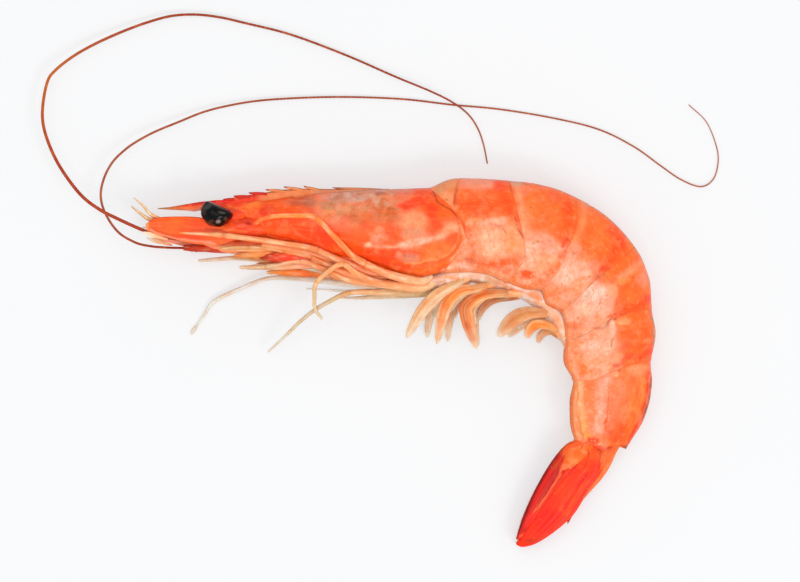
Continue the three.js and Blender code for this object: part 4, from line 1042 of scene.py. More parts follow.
def tube(path, columns, step, joints=()):
    """Rings along rows of x, y, height, half width and half height, and each ring's share of the way."""
    path = np.array([(*row, row[3]) if len(row) == 4 else row for row in path], float)
    last = len(path) - 1
    length = curve_length(path[:, :3], np.linspace(0, last, 200))
    places = np.linspace(0, last, max(int(length / step), 8))
    rows = smooth(path, places)
    ahead = smooth(path, np.minimum(places + 0.02, last))[:, :3]
    behind = smooth(path, np.maximum(places - 0.02, 0))[:, :3]
    along = ahead - behind
    along /= np.linalg.norm(along, axis=1)[:, None]
    across = np.column_stack([-along[:, 1], along[:, 0], 0 * along[:, 0]])
    across /= np.linalg.norm(across, axis=1)[:, None]
    up = np.cross(along, across)
    thick = np.ones(len(places))
    for joint in joints:
        gap = (places - joint) / 0.1
        thick += 0.10 * np.exp(-((np.abs(gap) - 1.2) ** 2)) - 0.10 * np.exp(-3 * gap**2)
    turn = angles(columns)
    rings = rows[:, None, :3] + across[:, None] * (np.cos(turn) * (rows[:, 3] * thick)[:, None])[..., None]
    rings += up[:, None] * (np.sin(turn) * (rows[:, 4] * thick)[:, None])[..., None]
    rings[..., 2] = np.maximum(rings[..., 2], -MIDDLE)
    return rings, places / last


def warmed(colour, share):
    """Paint with less blue, which thin pieces pick up from the light. The palest paint stays as it is."""
    pale = ease(0.28, 0.5, colour[:, 2])
    return colour * np.column_stack([1 + 0 * pale, 1.02 + 0 * pale, share + (1 - share) * pale])


def limb_body(path, joints, tones, seed, edge="e9874e", columns=16, step=0.23, marks=(), fibre=0.45):
    """A jointed limb. Tones are colours spread evenly from its tip to its root."""
    rings, share = tube(path, columns, step, joints)
    turn = np.tile(angles(columns), len(share))
    share = np.repeat(share, columns)
    paint = Paint(rings, tones[0], 0.1, 300 + seed, 0.04)
    paint.colour = tones_along(share, tones)
    fibres = np.column_stack([share * len(path) * 1.3, 2.2 * np.cos(turn), 2.2 * np.sin(turn)])
    paint.grain(fibres, 310 + seed, 0.05, 0.6, "feead6", 1.3 * fibre)
    paint.grain(fibres * [1, 1.5, 1.5] + 4, 320 + seed, 0.1, 0.6, edge, 0.9 * fibre)
    paint.grain(fibres * [1.2, 2.6, 2.6] + 8, 330 + seed, 0.2, 0.7, edge, 0.8 * fibre)
    paint.grain(fibres * [1.2, 2.9, 2.9] + 12, 340 + seed, 0.2, 0.7, "fff0e0", 0.8 * fibre)
    # Darker on the side to the right of the way from tip to root: partly the limb's own darker edge, partly
    # painted shade
    paint.mark(ease(0.3, 0.95, -np.cos(turn)), edge, 0.4)
    for joint in joints:
        gap = (share * (len(path) - 1) - joint) / 0.07
        paint.mark(np.exp(-(gap**2)), edge, 0.45)
    paint.colour = warmed(paint.colour, 0.8)
    paint.draw(marks)
    return closed_body(rings, paint.rgba())


def hairs(roots, tips, thickness, colour, bend, seed):
    """Fine tapering bristles from roots to tips, each a little bent its own way."""
    rng = np.random.RandomState(seed)
    count = len(roots)
    reach = np.linalg.norm(tips - roots, axis=1)[:, None]
    sag = rng.normal(size=(count, 3)) * bend * reach
    along = (tips - roots) / reach
    side = np.cross(along, [0, 0, 1.0])
    side /= np.maximum(np.linalg.norm(side, axis=1), 1e-6)[:, None]
    other = np.cross(along, side)
    levels = (0.0, 0.35, 0.7)
    corners = (0, 2 * math.pi / 3, 4 * math.pi / 3)
    points = []
    for level in levels:
        middle = roots + (tips - roots) * level + sag * math.sin(level * math.pi * 0.6)
        half = thickness * (1 - 0.75 * level)
        points += [middle + (side * math.cos(angle) + other * math.sin(angle)) * half for angle in corners]
    points.append(tips + sag * 0.9)
    points = np.stack(points, 1).reshape(-1, 3)
    points[:, 2] = np.maximum(points[:, 2], -MIDDLE)
    top, end = 3 * (len(levels) - 1), 3 * len(levels)
    quads = [
        (a + k, a + k + 3, a + (k + 1) % 3 + 3, a + (k + 1) % 3) for a in range(0, top, 3) for k in range(3)
    ]
    triangles = [(top + k, end, top + (k + 1) % 3) for k in range(3)] + [(0, 1, 2)]
    start = (np.arange(count) * (end + 1))[:, None, None]
    faces = [(np.array(quads) + start).reshape(-1, 4), (np.array(triangles) + start).reshape(-1, 3)]
    return points, faces, np.tile([*tint(colour), 0.0], (len(points), 1))


# Each limb has rows of x, y, height and half width from its tip to its root, the places of its joints among
# the rows, colours from tip to root, and the colour of its edges
LIMBS = {
    "maxilliped_left": (
        [
            (-44.1, 10.3, 4.2, 0.26), (-35.3, 9.8, 4.4, 0.54), (-26.5, 8.7, 4.5, 0.62),
            (-17.7, 7.4, 4.9, 0.62), (-14.4, 6.7, 5.1, 0.64), (-11.1, 5.2, 5.2, 0.7),
            (-6.7, 3.3, 4.9, 0.8), (-1.9, 1.5, 4, 0.9), (1.5, 1.6, 3.2, 0.9),
        ],
        (1.1, 4.2),
        ("f88c54", "fcac7c", "fcb084", "f2a072", "f8a880", "f29c78", "f8a684", "fcc4a6"),
        "d9622e",
    ),
    "maxilliped_right": (
        [
            (-40.2, 4.2, -4.6, 0.3), (-36.4, 4.5, -4.6, 0.45), (-31.8, 4.8, -4.5, 0.5),
            (-26.1, 4.3, -4.5, 0.5), (-17.7, 3.4, -4.8, 0.6), (-8.9, 2.4, -5, 0.8), (-1.9, 1.6, -4.2, 0.9),
        ],
        (2, 4),
        ("e8d6ca", "f0d4c0", "f8cca0", "f8bc84", "f7a878"),
        "e0b898",
    ),
    "leg_1_left": (
        [
            (-34.9, 6.9, 2.6, 0.3), (-30.9, 7.1, 2.7, 0.45), (-26.1, 7, 2.8, 0.45), (-22.1, 6.4, 3, 0.5),
            (-17.7, 5.6, 3.3, 0.55), (-15.1, 5, 3.6, 0.6), (-10.9, 3, 3.8, 0.75), (-6.3, 1.2, 3.8, 0.9),
            (-0.5, 0.4, 3.2, 1), (2.5, 1, 2.6, 1),
        ],
        (1.4, 3.2, 5),
        # The root end is painted paler: painted light against the shade of the third leg over it
        ("e4b080", "e6b488", "ecac7c", "f89a64", "f69a6c", "ec8050", "fa9c70", "fcbc98", "fcd4bc"),
        "cf5a2c",
    ),
    "leg_1_right": (
        [
            (-24.8, 1.6, -3.2, 0.35), (-17.7, 1.7, -3.4, 0.5), (-13.3, 1.2, -3.6, 0.6),
            (-6.7, 0.4, -3.8, 0.9), (-0.9, 0.5, -3.2, 1),
        ],
        (1.2, 2.4),
        ("f2cea8", "f09a60", "ee8850", "f29a60", "f9b088"),
        "c8602c",
    ),
    "leg_2_left": (
        [
            (-30.7, 2.7, 1.6, 0.3), (-26.1, 2.8, 2.2, 0.45), (-22.1, 3.3, 2.7, 0.5),
            (-19.5, 3.9, 2.9, 0.55), (-16.2, 3.8, 3, 0.6), (-12.2, 2.2, 3, 0.75), (-6.7, 0, 2.8, 0.95),
            (0.4, -0.7, 2.6, 1.05), (5.2, 0.2, 2.4, 1),
        ],
        (1.2, 3.6, 5.2),
        ("f2d0b8", "e8caae", "f4c0a4", "feb898", "f89c70", "f2a06c", "f6bc98", "f8ccb0"),
        "c87850",
    ),
    "leg_2_right": (
        [
            (-27, 3.4, -1.6, 0.35), (-20.9, 3.5, -1.8, 0.5), (-15.4, 2.7, -2.2, 0.65),
            (-9.8, 1.2, -2.6, 0.8), (-3.4, -0.4, -2.8, 1), (3, -0.4, -2.6, 1),
        ],
        (1.2, 2.8),
        ("f0c4a0", "f7a878", "f4783a", "f28a50", "f8b08c"),
        "c9622e",
    ),
    "leg_3_left": (
        [
            (-27.3, 12.4, 5.3, 0.3), (-26.1, 13.2, 5.7, 0.42), (-23, 13.9, 6.3, 0.5),
            (-18.6, 14, 7.1, 0.52), (-14.4, 13.6, 7.8, 0.6), (-10.4, 9.7, 8.2, 0.62),
            (-6.6, 5.7, 7.6, 0.68), (-3.4, 3.5, 6.7, 0.8), (1, 1.5, 6.1, 0.9), (5.4, 0.2, 5.4, 1),
            (9.2, -0.3, 4.4, 1.1), (10.9, 0.8, 3.2, 1.1),
        ],
        (1.6, 4.1, 7),
        (
            "f97a40", "fd8c4c", "ff9c54", "ff9a52", "fe9454", "fe9058", "fb9460", "f8a478", "f4b48c",
            "f6caa8", "fcd8c0",
        ),
        "f07034",
    ),
    "leg_3_right": (
        [
            (-41.7, -11.7, -7.85, 0.22), (-39, -7.8, -7.6, 0.34), (-36.7, -4.7, -7.2, 0.44),
            (-30.9, -1.9, -6.6, 0.46), (-24.8, 0.3, -6.1, 0.5), (-17.7, 0.3, -5.7, 0.6),
            (-8.9, -0.6, -5.3, 0.8), (1, -1.2, -4.8, 1), (6.5, -0.4, -4, 1),
        ],
        (2.1, 4.6),
        # Painted paler than the leg's own colour: painted light against the shade of the legs above it
        ("ece6dc", "ece4d8", "eee8dc", "f2ece4", "f0e0d0", "fbece0", "fdeadc", "f8d6c0"),
        "e2ccb8",
    ),
    "leg_4_left": (
        [
            (-12.9, -8.6, -1, 0.28), (-14.4, -6.4, 0.6, 0.42), (-14.5, -3.6, 2.3, 0.46),
            (-14.2, -0.9, 3.6, 0.5), (-11.7, 1.6, 4.8, 0.55), (-8.4, 3.4, 5.7, 0.62),
            (-5.2, 1.4, 5.6, 0.75), (-0.9, -0.6, 5, 0.9), (4.6, -1.4, 4.2, 1.05), (9.2, -1.6, 3.4, 1.1),
            (12.4, -0.2, 2.6, 1.1),
        ],
        (1.1, 3.2, 5.1),
        (
            "e8d8c0", "e6d2b6", "e8d0b4", "f4c8a0", "fcb888", "fcb07c", "f4986a", "f4b088", "f4c4a0",
            "f6cdb2",
        ),
        "df9a68",
    ),
    "leg_4_right": (
        [
            (-16.4, -2, -7.75, 0.16), (-10.9, -2.3, -7.3, 0.26), (-5.4, -2.6, -6.9, 0.45),
            (0.9, -2.3, -6.2, 0.8), (7, -1.9, -5.2, 1), (11.2, -0.6, -4, 1),
        ],
        (1.1, 3),
        ("fbf8f6", "faf0e8", "f4d0b8"),
        "e4c4a8",
    ),
    "leg_5_left": (
        [
            (-24.8, -15.9, -5.2, 0.22), (-21, -12.4, -3.6, 0.34), (-17.7, -9.2, -2, 0.42),
            (-14.4, -6.6, -0.9, 0.46), (-11.1, -4.7, 0.1, 0.5), (-8.3, -3.3, 1, 0.55),
            (-5.4, -2.7, 1.4, 0.62), (-1.2, -2.7, 1.5, 0.75), (4.3, -2.6, 1.4, 0.95),
            (9.8, -2.5, 1.3, 1.1), (13.8, -1.8, 1.1, 1.2), (15.6, -0.2, 1, 1.2),
        ],
        (1.4, 5.6, 8.6),
        (
            "e8e0cf", "e8decf", "e4d6c6", "e2d0bc", "e2c8ac", "e8b68e", "f2c09c", "e4b894", "d8ac88",
            "c89a78", "d8ac8c",
        ),
        "d4a27c",
    ),
    "leg_5_right": (
        [
            (-9.8, -3.9, -5.1, 0.2), (-5.4, -4, -4.6, 0.34), (-0.9, -3.7, -4.1, 0.6),
            (4.3, -3.3, -3.6, 0.8), (9.8, -2.8, -3, 1), (13.8, -1.7, -2.4, 1.1),
        ],
        (1.2, 3),
        ("f0e0d2", "ecd0ba", "ecc4a4"),
        "dcb492",
    ),
}
CLAW_ROWS = ((1.9, 0.02, 0.25), (1.2, 0.22, 0.21), (0.5, 0.3, 0.17), (-0.1, 0.24, 0.11), (-0.5, 0.1, 0.05))


def claw(path, tones, seed):
    """The two small fingers at the tip of a leg."""
    tip = np.array(path[0][:3])
    back = np.array(path[1][:3]) - tip
    back /= np.linalg.norm(back)
    side = np.array([-back[1], back[0], 0])
    side /= np.linalg.norm(side)
    fingers = []
    for sign in (1, -1):
        rows = [(*(tip + back * reach + side * sign * gap), half) for reach, gap, half in CLAW_ROWS]
        fingers.append(limb_body(rows, (), tones[1::-1], seed, columns=10, step=0.1))
    return fingers


def add_limbs():
    """The foot-jaws and the walking legs."""
    for seed, (name, (path, joints, tones, edge)) in enumerate(LIMBS.items()):
        bodies = [limb_body(path, joints, tones, seed, edge)]
        if name[:5] in ("leg_1", "leg_2", "leg_3"):
            bodies += claw(path, tones, seed + 40)
        add_piece(f"{name}_limb", bodies, "limb", name)


add_limbs()

MOUTH_ROWS = [
    (-38.5, 8.2, 0, 0.7), (-34, 7.6, 0, 1.5), (-28, 6.8, 0, 2), (-21.5, 5.9, 0, 2.1), (-15, 4.9, 0, 1.9),
    (-9, 3.6, 0, 1.6), (-4.5, 2.6, 0, 1.2),
]
MOUTH_MARKS = [
    blob(216, 246, 16, 4, "fb9a6c", 0.8),
    blob(245, 248, 24, 3, "f2c294", 0.8),
    blob(240, 254, 20, 3, "ee9a68", 0.8),
    blob(252, 258, 18, 4, "efb070", 0.8),
    blob(290, 256, 28, 5, "ee461c", 0.95, -2),
    line(1.4, "b8401c", 0.6, (263, 257), (272, 261), (286, 261), (300, 259)),
    line(2, "7c2c10", 0.8, (262, 257), (266, 259)),
    blob(300, 266, 30, 3, "fbb49c", 0.9, 4),
    line(1.4, "b08458", 0.5, (270, 269), (290, 267), (310, 265)),
    blob(296, 272, 24, 3.4, "f08440", 0.9, -3),
    line(1, "b8602c", 0.7, (280, 276), (300, 276.5), (322, 277)),
    blob(324, 262, 10, 5, "f0542c", 0.8, -30),
]
# Each lobe has rows of x and y in pixels, height and half width, colours along it, and its edges' colour
MOUTH_LOBES = [
    (
        [
            (316, 246, 3.2, 0.5), (336, 251.5, 3.8, 1.1), (356, 259.5, 4.2, 1.3), (378, 268, 4.2, 1.3),
            (402, 275, 4, 1.1), (432, 277, 3.6, 0.6),
        ],
        ("f0683a", "f26c3c", "f27440", "f08450", "f4a078"),
        "d8562c",
    ),
    (
        [(236, 250, 2.2, 0.3), (252, 249, 2.5, 0.7), (270, 248, 2.6, 0.8), (290, 250, 2.6, 0.6)],
        ("f6cca0", "fbb488", "fb9468"),
        "d9703c",
    ),
    (
        [(234, 256, 1.9, 0.3), (248, 255, 2.2, 0.7), (264, 254, 2.4, 0.7), (276, 254, 2.4, 0.4)],
        ("e08a54", "efa064", "f07a3c"),
        "c8602c",
    ),
    (
        [
            (260, 257, 2.2, 0.35), (272, 257.5, 2.7, 0.95), (290, 257, 3, 1.1), (306, 257, 3, 0.8),
            (316, 258, 2.9, 0.5),
        ],
        ("a03c14", "e0441c", "f6481c", "dc4420", "c84420"),
        "b83c12",
    ),
    (
        [
            (262, 245, 3.2, 0.35), (288, 248.5, 3.6, 0.6), (312, 253.5, 3.8, 0.7), (334, 261, 3.6, 0.7),
            (358, 269, 3.2, 0.7),
        ],
        ("fbb084", "f8a880", "f29c74", "f2a078", "f8b08c"),
        "d0703c",
    ),
    (
        [(300, 259, 2.6, 0.3), (318, 263, 3, 0.6), (340, 270, 3, 0.7), (362, 277, 2.8, 0.7)],
        ("fbb08c", "f8a480", "f6a880", "f8b894"),
        "c8683c",
    ),
    (
        [
            (304, 268, 1.2, 0.4), (322, 270, 1.6, 0.8), (342, 275, 1.6, 0.9), (366, 281, 1.6, 0.9),
            (396, 286, 1.6, 0.9),
        ],
        ("f0dccc", "eed6c4", "f2cdb4", "eebc98", "e8b48e"),
        "cf9c78",
    ),
    (
        [
            (242, 268, 0.6, 0.3), (256, 267, 1, 0.6), (274, 267, 1.6, 0.7), (296, 266, 2, 0.75),
            (318, 265, 2.2, 0.7),
        ],
        ("d8b8a8", "f4c4ac", "f6c4a4", "fbb49c", "fba488"),
        "b87850",
    ),
    (
        [(270, 272, 0.4, 0.35), (284, 272, 0.9, 0.8), (300, 273, 1.2, 0.85), (322, 275, 1.2, 0.6)],
        ("eca468", "f0843c", "ef7434", "ec8a50"),
        "b8602c",
    ),
]


def lumps(rings, grain, seed):
    """Layered noise for each point of a row of rings."""
    return rough(rings.reshape(-1, 3), grain, seed).reshape(rings.shape[:2])


def swollen(rings, height):
    """Rings with every point moved away from its ring's middle by its own height."""
    away = rings - rings.mean(1, keepdims=True)
    return rings + away / np.linalg.norm(away, axis=-1, keepdims=True) * height[..., None]


def add_mouthparts():
    """The soft middle of the mouthparts, and the lobes on both its sides."""
    rings, _ = tube(MOUTH_ROWS, 52, 0.22)
    rings = swollen(rings, 0.3 * lumps(rings, 2.4, 400))
    # The soft middle is painted lighter than its own colour: painted light that offsets the deep shade
    # between the legs and the head shell
    paint = Paint(rings, "ff8c5c", 0.3, 60)
    paint.mottle(2.0, "ffb48c", 0.5, 404, 1.0, 0.2)
    paint.draw(MOUTH_MARKS)
    bodies = [closed_body(rings, paint.rgba())]
    for seed, (pixels, tones, edge) in enumerate(MOUTH_LOBES):
        for sign in (1, -1):
            rows = [(*seen((x, y))[0], sign * z, half, 0.45 * half) for x, y, z, half in pixels]
            bodies.append(limb_body(rows, (), tones, 60 + seed, edge, 18, fibre=0.2))
    add_piece("mouth_parts", bodies, "head_shell", "mouthparts", finish="limb")


add_mouthparts()

# The whiskers' routes, as x, y and height above the table
WHISKERS = {
    "left": [
        (-43.5, 8.8, 9.4), (-48.5, 9.6, 9), (-52.7, 11.1, 8.5), (-58, 13.5, 7.9), (-61.9, 15.5, 7.3),
        (-65.9, 18.6, 6.6), (-69.8, 23.6, 5.8), (-72.5, 28.5, 5.1), (-74.3, 33.8, 4.4), (-74.5, 38.4, 3.8),
        (-73.5, 43.7, 3.2), (-71.8, 46.2, 2.9), (-67.9, 49.3, 2.5), (-63.2, 52, 2.2), (-57.3, 54.7, 1.8),
        (-51.4, 56.9, 1.5), (-46.1, 58.3, 1.3), (-40.8, 58.6, 1.1), (-35.5, 58, 1), (-30.2, 56.8, 0.9),
        (-19.9, 54.2, 0.8), (-7.8, 49.7, 0.8), (3.2, 44.9, 1.2), (10.9, 41.7, 1.7), (15.7, 39.3, 1.9),
        (19.2, 36.7, 1.6), (21.4, 33.6, 0.9), (22.7, 30.1, 0.5), (23.6, 25.7, 0.3),
    ],
    "right": [
        (-41.8, 6.9, 6.3), (-44.1, 7, 6.2), (-47.4, 7.1, 6.1), (-50.7, 7.4, 5.8), (-54, 8.2, 5.5),
        (-57.8, 10.5, 5.2), (-60.6, 14.5, 4.7), (-61.7, 18.4, 4.2), (-61, 22.4, 3.7), (-59.1, 26, 3.2),
        (-56.4, 28.7, 2.8), (-53.7, 30.6, 2.5), (-49.8, 32.7, 2.2), (-44.5, 34.9, 1.8), (-39.3, 37, 1.4),
        (-34, 38.4, 1.1), (-27.6, 39.5, 0.9), (-19.9, 40.1, 0.7), (-11.1, 40.4, 0.55), (-2.3, 40.3, 0.45),
        (6.5, 39.8, 0.4), (15.7, 38.7, 0.35), (26.3, 37.7, 0.35), (38.4, 35.7, 0.4), (48.3, 33.2, 0.5),
        (56, 29.4, 0.6), (61.9, 25.2, 0.6), (66.3, 22.2, 0.5), (70.7, 20.6, 0.4), (73.5, 22.2, 0.35),
        (74.6, 25.9, 0.3), (74.2, 29.6, 0.3), (72, 34.9, 0.3), (68.1, 38.7, 0.3),
    ],
}
WHISKER_COLUMNS, WHISKER_STEP = 8, 0.16
BEAD_RINGS = 3.5
WHISKER_RADII = {
    "left": (0.38, 0.38, 0.34, 0.31, 0.27, 0.22, 0.16),
    "right": (0.26, 0.27, 0.26, 0.23, 0.2, 0.17, 0.12),
}
WHISKER_TONES = {
    "left": ("b03c28", "b6462a", "bc4a2c", "cc6c34", "b0482e", "a44430", "a04430", "a44c3a", "b06a54"),
    "right": (
        "a03020", "a8422a", "b0604a", "ae5c42", "a8523a", "a8543c", "ac583e", "b0624c", "b87460", "c08878",
    ),
}


def add_whisker(side, route):
    """A long feeler: a thin beaded tube along its route."""
    share = np.arange(len(route)) / (len(route) - 1)
    radii = WHISKER_RADII[side]
    radius = smooth(radii, share * (len(radii) - 1))[:, 0]
    path = [(x, y, height - MIDDLE, r) for (x, y, height), r in zip(route, radius)]
    rings, reach = tube(path, WHISKER_COLUMNS, WHISKER_STEP)
    middle = rings.mean(1, keepdims=True)
    beads = 1 + 0.07 * np.sin(np.arange(len(rings)) * 2 * math.pi / BEAD_RINGS)
    rings = middle + (rings - middle) * beads[:, None, None]
    reach = np.repeat(reach, WHISKER_COLUMNS)
    paint = Paint(rings, "c4502f", 0.0, 70, 0.0)
    paint.colour = tones_along(reach, WHISKER_TONES[side])
    paint.mottle(5.0, "a03a24", 0.35, 501)
    paint.mottle(1.5, "e07a50", 0.35, 502, 1.0, 0.2)
    add_piece(f"whisker_{side}", [closed_body(rings, paint.rgba())], "whisker", f"antenna_{side}")


for whisker_side, whisker_route in WHISKERS.items():
    add_whisker(whisker_side, whisker_route)

# The head's small pieces


def on_side(path, sign, shift=(0, 0)):
    """A left-side path as it is, or its mirror image moved a little in plan."""
    if sign > 0:
        return path
    return [(x + shift[0], y + shift[1], -z, *rest) for x, y, z, *rest in path]


def leaf(edge_a, edge_b, heights, halves, rows, columns, crease):
    """A thin leaf between two plan edges, lens-shaped across, with each point's share along and across."""
    share = np.linspace(0, 1, rows)
    a = smooth(edge_a, share * (len(edge_a) - 1))
    b = smooth(edge_b, share * (len(edge_b) - 1))
    height = smooth(heights, share * (len(heights) - 1))
    half = smooth(halves, share * (len(halves) - 1))
    across = 0.5 - 0.5 * np.cos(np.linspace(0, math.pi, columns + 1))
    across = np.concatenate([across[:-1], across[:0:-1]])
    face = np.concatenate([np.ones(columns), -np.ones(columns)])
    plan = a[:, None] + (b - a)[:, None] * across[None, :, None]
    bulge = half * np.sqrt(np.clip(4 * across * (1 - across), 0, 1)) * face
    bulge = bulge + face * crease(share[:, None], across[None])
    z = np.maximum(height + bulge, -MIDDLE)
    return np.dstack([plan, z]), np.repeat(share, len(across)), np.tile(across, rows)


def fringe(rings, column, stretch, count, lengths, lean, thickness, colour, seed):
    """Bristles along one edge of a row of rings, over a stretch of its rows, leaning towards its last row."""
    rng = np.random.RandomState(seed)
    last = len(rings) - 1
    index = (rng.uniform(*stretch, count) * last).astype(int)
    roots = rings[index, column]
    ahead = rings[np.minimum(index + 3, last), column] - rings[np.maximum(index - 3, 0), column]
    ahead /= np.maximum(np.linalg.norm(ahead, axis=1), 1e-6)[:, None]
    out = roots - rings[index].mean(1)
    out /= np.maximum(np.linalg.norm(out, axis=1), 1e-6)[:, None]
    length = rng.uniform(*lengths, count)[:, None]
    tips = roots + (ahead * lean + out * (1 - 0.5 * abs(lean))) * length
    return hairs(roots, tips, thickness, colour, 0.08, seed)


SCALE_UPPER = [(-51.6, 12.3), (-49.2, 13.6), (-44.5, 13.9), (-39.7, 13.7), (-34.9, 12.6), (-31.2, 10.4)]
SCALE_LOWER = [(-51.6, 11), (-49.6, 10.1), (-45.9, 9.1), (-41, 7.9), (-35.5, 7.7), (-31.6, 8.8)]
SCALE_LEVELS = (2.2, 2.6, 2.9, 3.0, 2.9, 2.6)
SCALE_WEB = ((142.5, 232, 0.08), (146, 233, 0.3), (151, 234.4, 0.5), (159, 236.8, 0.4), (168, 239.2, 0.2))
SCALE_MARKS = [
    line(0.9, "a8481f", 0.8, (206, 229), (217, 230.5), (228, 231)),
    line(1.3, "fba684", 0.9, (152, 231), (163, 235), (178, 239), (195, 242), (215, 243.6)),
    line(0.7, "b8481c", 0.75, (154, 229.4), (166, 232.8), (182, 236.8), (200, 239.6)),
    blob(190, 238, 18, 2.6, "fb4a20", 0.5, -8),
    blob(178, 222, 22, 6, "ff6a26", 0.5),
    blob(204, 224, 12, 5, "fa4e1c", 0.6),
]
EYE_OUTLINE = (
    (201, 214), (201.5, 209), (204, 204.5), (207, 201.5), (212, 202.5), (220, 206), (228, 209.5),
    (232, 212.5), (233.5, 215), (232, 219), (228, 222), (225, 225), (221, 227), (215, 226.5), (209, 225),
    (205, 221), (202, 217),
)
EYE_RIMS = [
    line(1.6, "3a1810", 0.7, (206, 202), (220, 206), (231, 211)),
    line(1.6, "3a1810", 0.7, (204, 222), (214, 226), (222, 226), (230, 220)),
]
# The eye's tints, with painted glints on it
EYE_TINTS_AND_GLINTS = [
    # Painted reflection: a grey-blue patch at the top left
    blob(208, 206.5, 5, 2.6, "505c5a", 0.55, 35),
    blob(204, 211, 2.4, 4, "4a3c44", 0.6),
    # Painted highlight: a faint grey streak
    blob(222, 213, 3.4, 1, "66605c", 0.7, -20),
    blob(210.5, 222, 3.6, 1.8, "5a3c34", 0.75, 20),
    # Painted highlight: a small pale pink glint low down
    blob(218.4, 222, 2.3, 1.8, "9c7c74", 0.95, 20),
    blob(225.5, 219.5, 1.8, 2.2, "5c4c46", 0.7),
    line(1, "8a5048", 0.7, (203, 219), (208, 224), (214, 226.5)),
    line(1.6, "8c1c14", 0.85, (226, 224), (231, 219), (233, 215)),
]
EYE_MIDDLE = (216, 214.3)
EYE_LEVEL, EYE_HALF = 3.5, 2.6
STALK_PATH = [(-37, 14.3, 3.2, 1.5), (-33.2, 14.1, 2.6, 1.5), (-30.4, 13.8, 1.6, 1.35)]
ANTENNULE_STEM = [
    (-49.4, 13.2, 1.3, 0.5), (-45, 12.9, 1.2, 0.75), (-40.8, 12.6, 1.1, 0.85), (-35.2, 12.2, 1, 0.95),
    (-30.6, 12.4, 0.8, 1),
]
ANTENNULE_BRANCHES = [
    [(-54.2, 18, 2.4, 0.14), (-52.2, 16.3, 2.1, 0.3), (-50.7, 14.6, 1.8, 0.38), (-48.6, 13.4, 1.5, 0.44)],
    [(-54.8, 16.2, 1, 0.14), (-52.9, 14.7, 1, 0.3), (-51.1, 13.5, 1.1, 0.38), (-48.8, 13, 1.2, 0.44)],
]
ANTENNA_BASE = [
    (-43.6, 9, 1.3, 0.55), (-41, 9, 1.2, 0.85), (-36.5, 9.3, 1, 1.2), (-31.5, 9.8, 0.8, 1.5),
    (-28, 10.6, 0.6, 1.5),
]

CHEEK_ROWS = [
    (214, 231, 2, 0.5), (223, 229.5, 2.3, 1.1), (232, 228, 2.5, 1.5), (242, 227, 2.7, 1.8),
    (252, 227, 2.6, 1.95), (262, 228, 2.2, 1.8), (270, 229, 1.6, 1.4),
]
WHISKER_STRIP = (
    (184, 246.5, 0.4), (197, 248.4, 0.55), (212, 249.7, 0.65), (228, 250.3, 0.65), (246, 249.5, 0.4),
)
CHEEK_MARKS = [
    blob(243, 221, 10, 3.5, "e04428", 0.7),
    blob(249, 223.8, 3.6, 1.6, "b82812", 0.9, -12),
    line(1.2, "ff9464", 0.75, (222, 232), (232, 230), (246, 232)),
    line(1, "c8481f", 0.6, (216, 229), (226, 233), (240, 235)),
    blob(236, 233, 8, 2.5, "fa7a40", 0.7),
    line(1, "ff8a60", 0.6, (228, 222.5), (238, 220.5)),
]


def eye_body(sign):
    """The eyeball: its outline as seen from above, swelling up and down from there."""
    middle = seen(EYE_MIDDLE)[0]
    outline = seen(*EYE_OUTLINE)
    around = smooth(np.vstack([outline, outline[:1]]), np.linspace(0, len(outline), 97)[:-1]) - middle
    rise = np.linspace(-0.48, 0.48, 45)[:, None] * math.pi
    plan = middle + around * np.cos(rise)[..., None]
    level = sign * EYE_LEVEL + EYE_HALF * np.sin(rise) + 0 * around[:, 0]
    rings = np.dstack([plan, level])
    centre = np.array([*middle, sign * EYE_LEVEL])
    rings = centre + (rings - centre) * (1 + 0.03 * lumps(rings, 2.2, 600))[..., None]
    paint = Paint(rings, "060404", 0.2, 80, 0.0)
    paint.draw(EYE_RIMS)
    paint.mottle(1.6, "120a08", 0.5, 83)
    paint.draw(EYE_TINTS_AND_GLINTS)
    return closed_body(rings, paint.rgba())


def add_head_side(side, sign):
    """An eye on its stalk, and the pieces in front of it."""
    add_piece(f"eyeball_{side}", [eye_body(sign)], "eye", f"eye_{side}")
    stalk_tones = ("2a0c08", "b02c1a", "ee4a28", "fb5a2c")
    stalk = limb_body(on_side(STALK_PATH, sign), (), stalk_tones, 21, "e0442a", 28, fibre=0.05)
    add_piece(f"eye_stem_{side}", [stalk], "limb", f"eye_stalk_{side}")
    add_scale(side, sign)
    add_short_feeler(side, sign)
    add_feeler_base(side, sign)


def scale_crease(share, across):
    """The scale's long rib and the groove beside it."""
    return 0.12 * np.exp(-(((across - 0.2) / 0.07) ** 2)) - 0.05 * np.exp(-(((across - 0.34) / 0.05) ** 2))


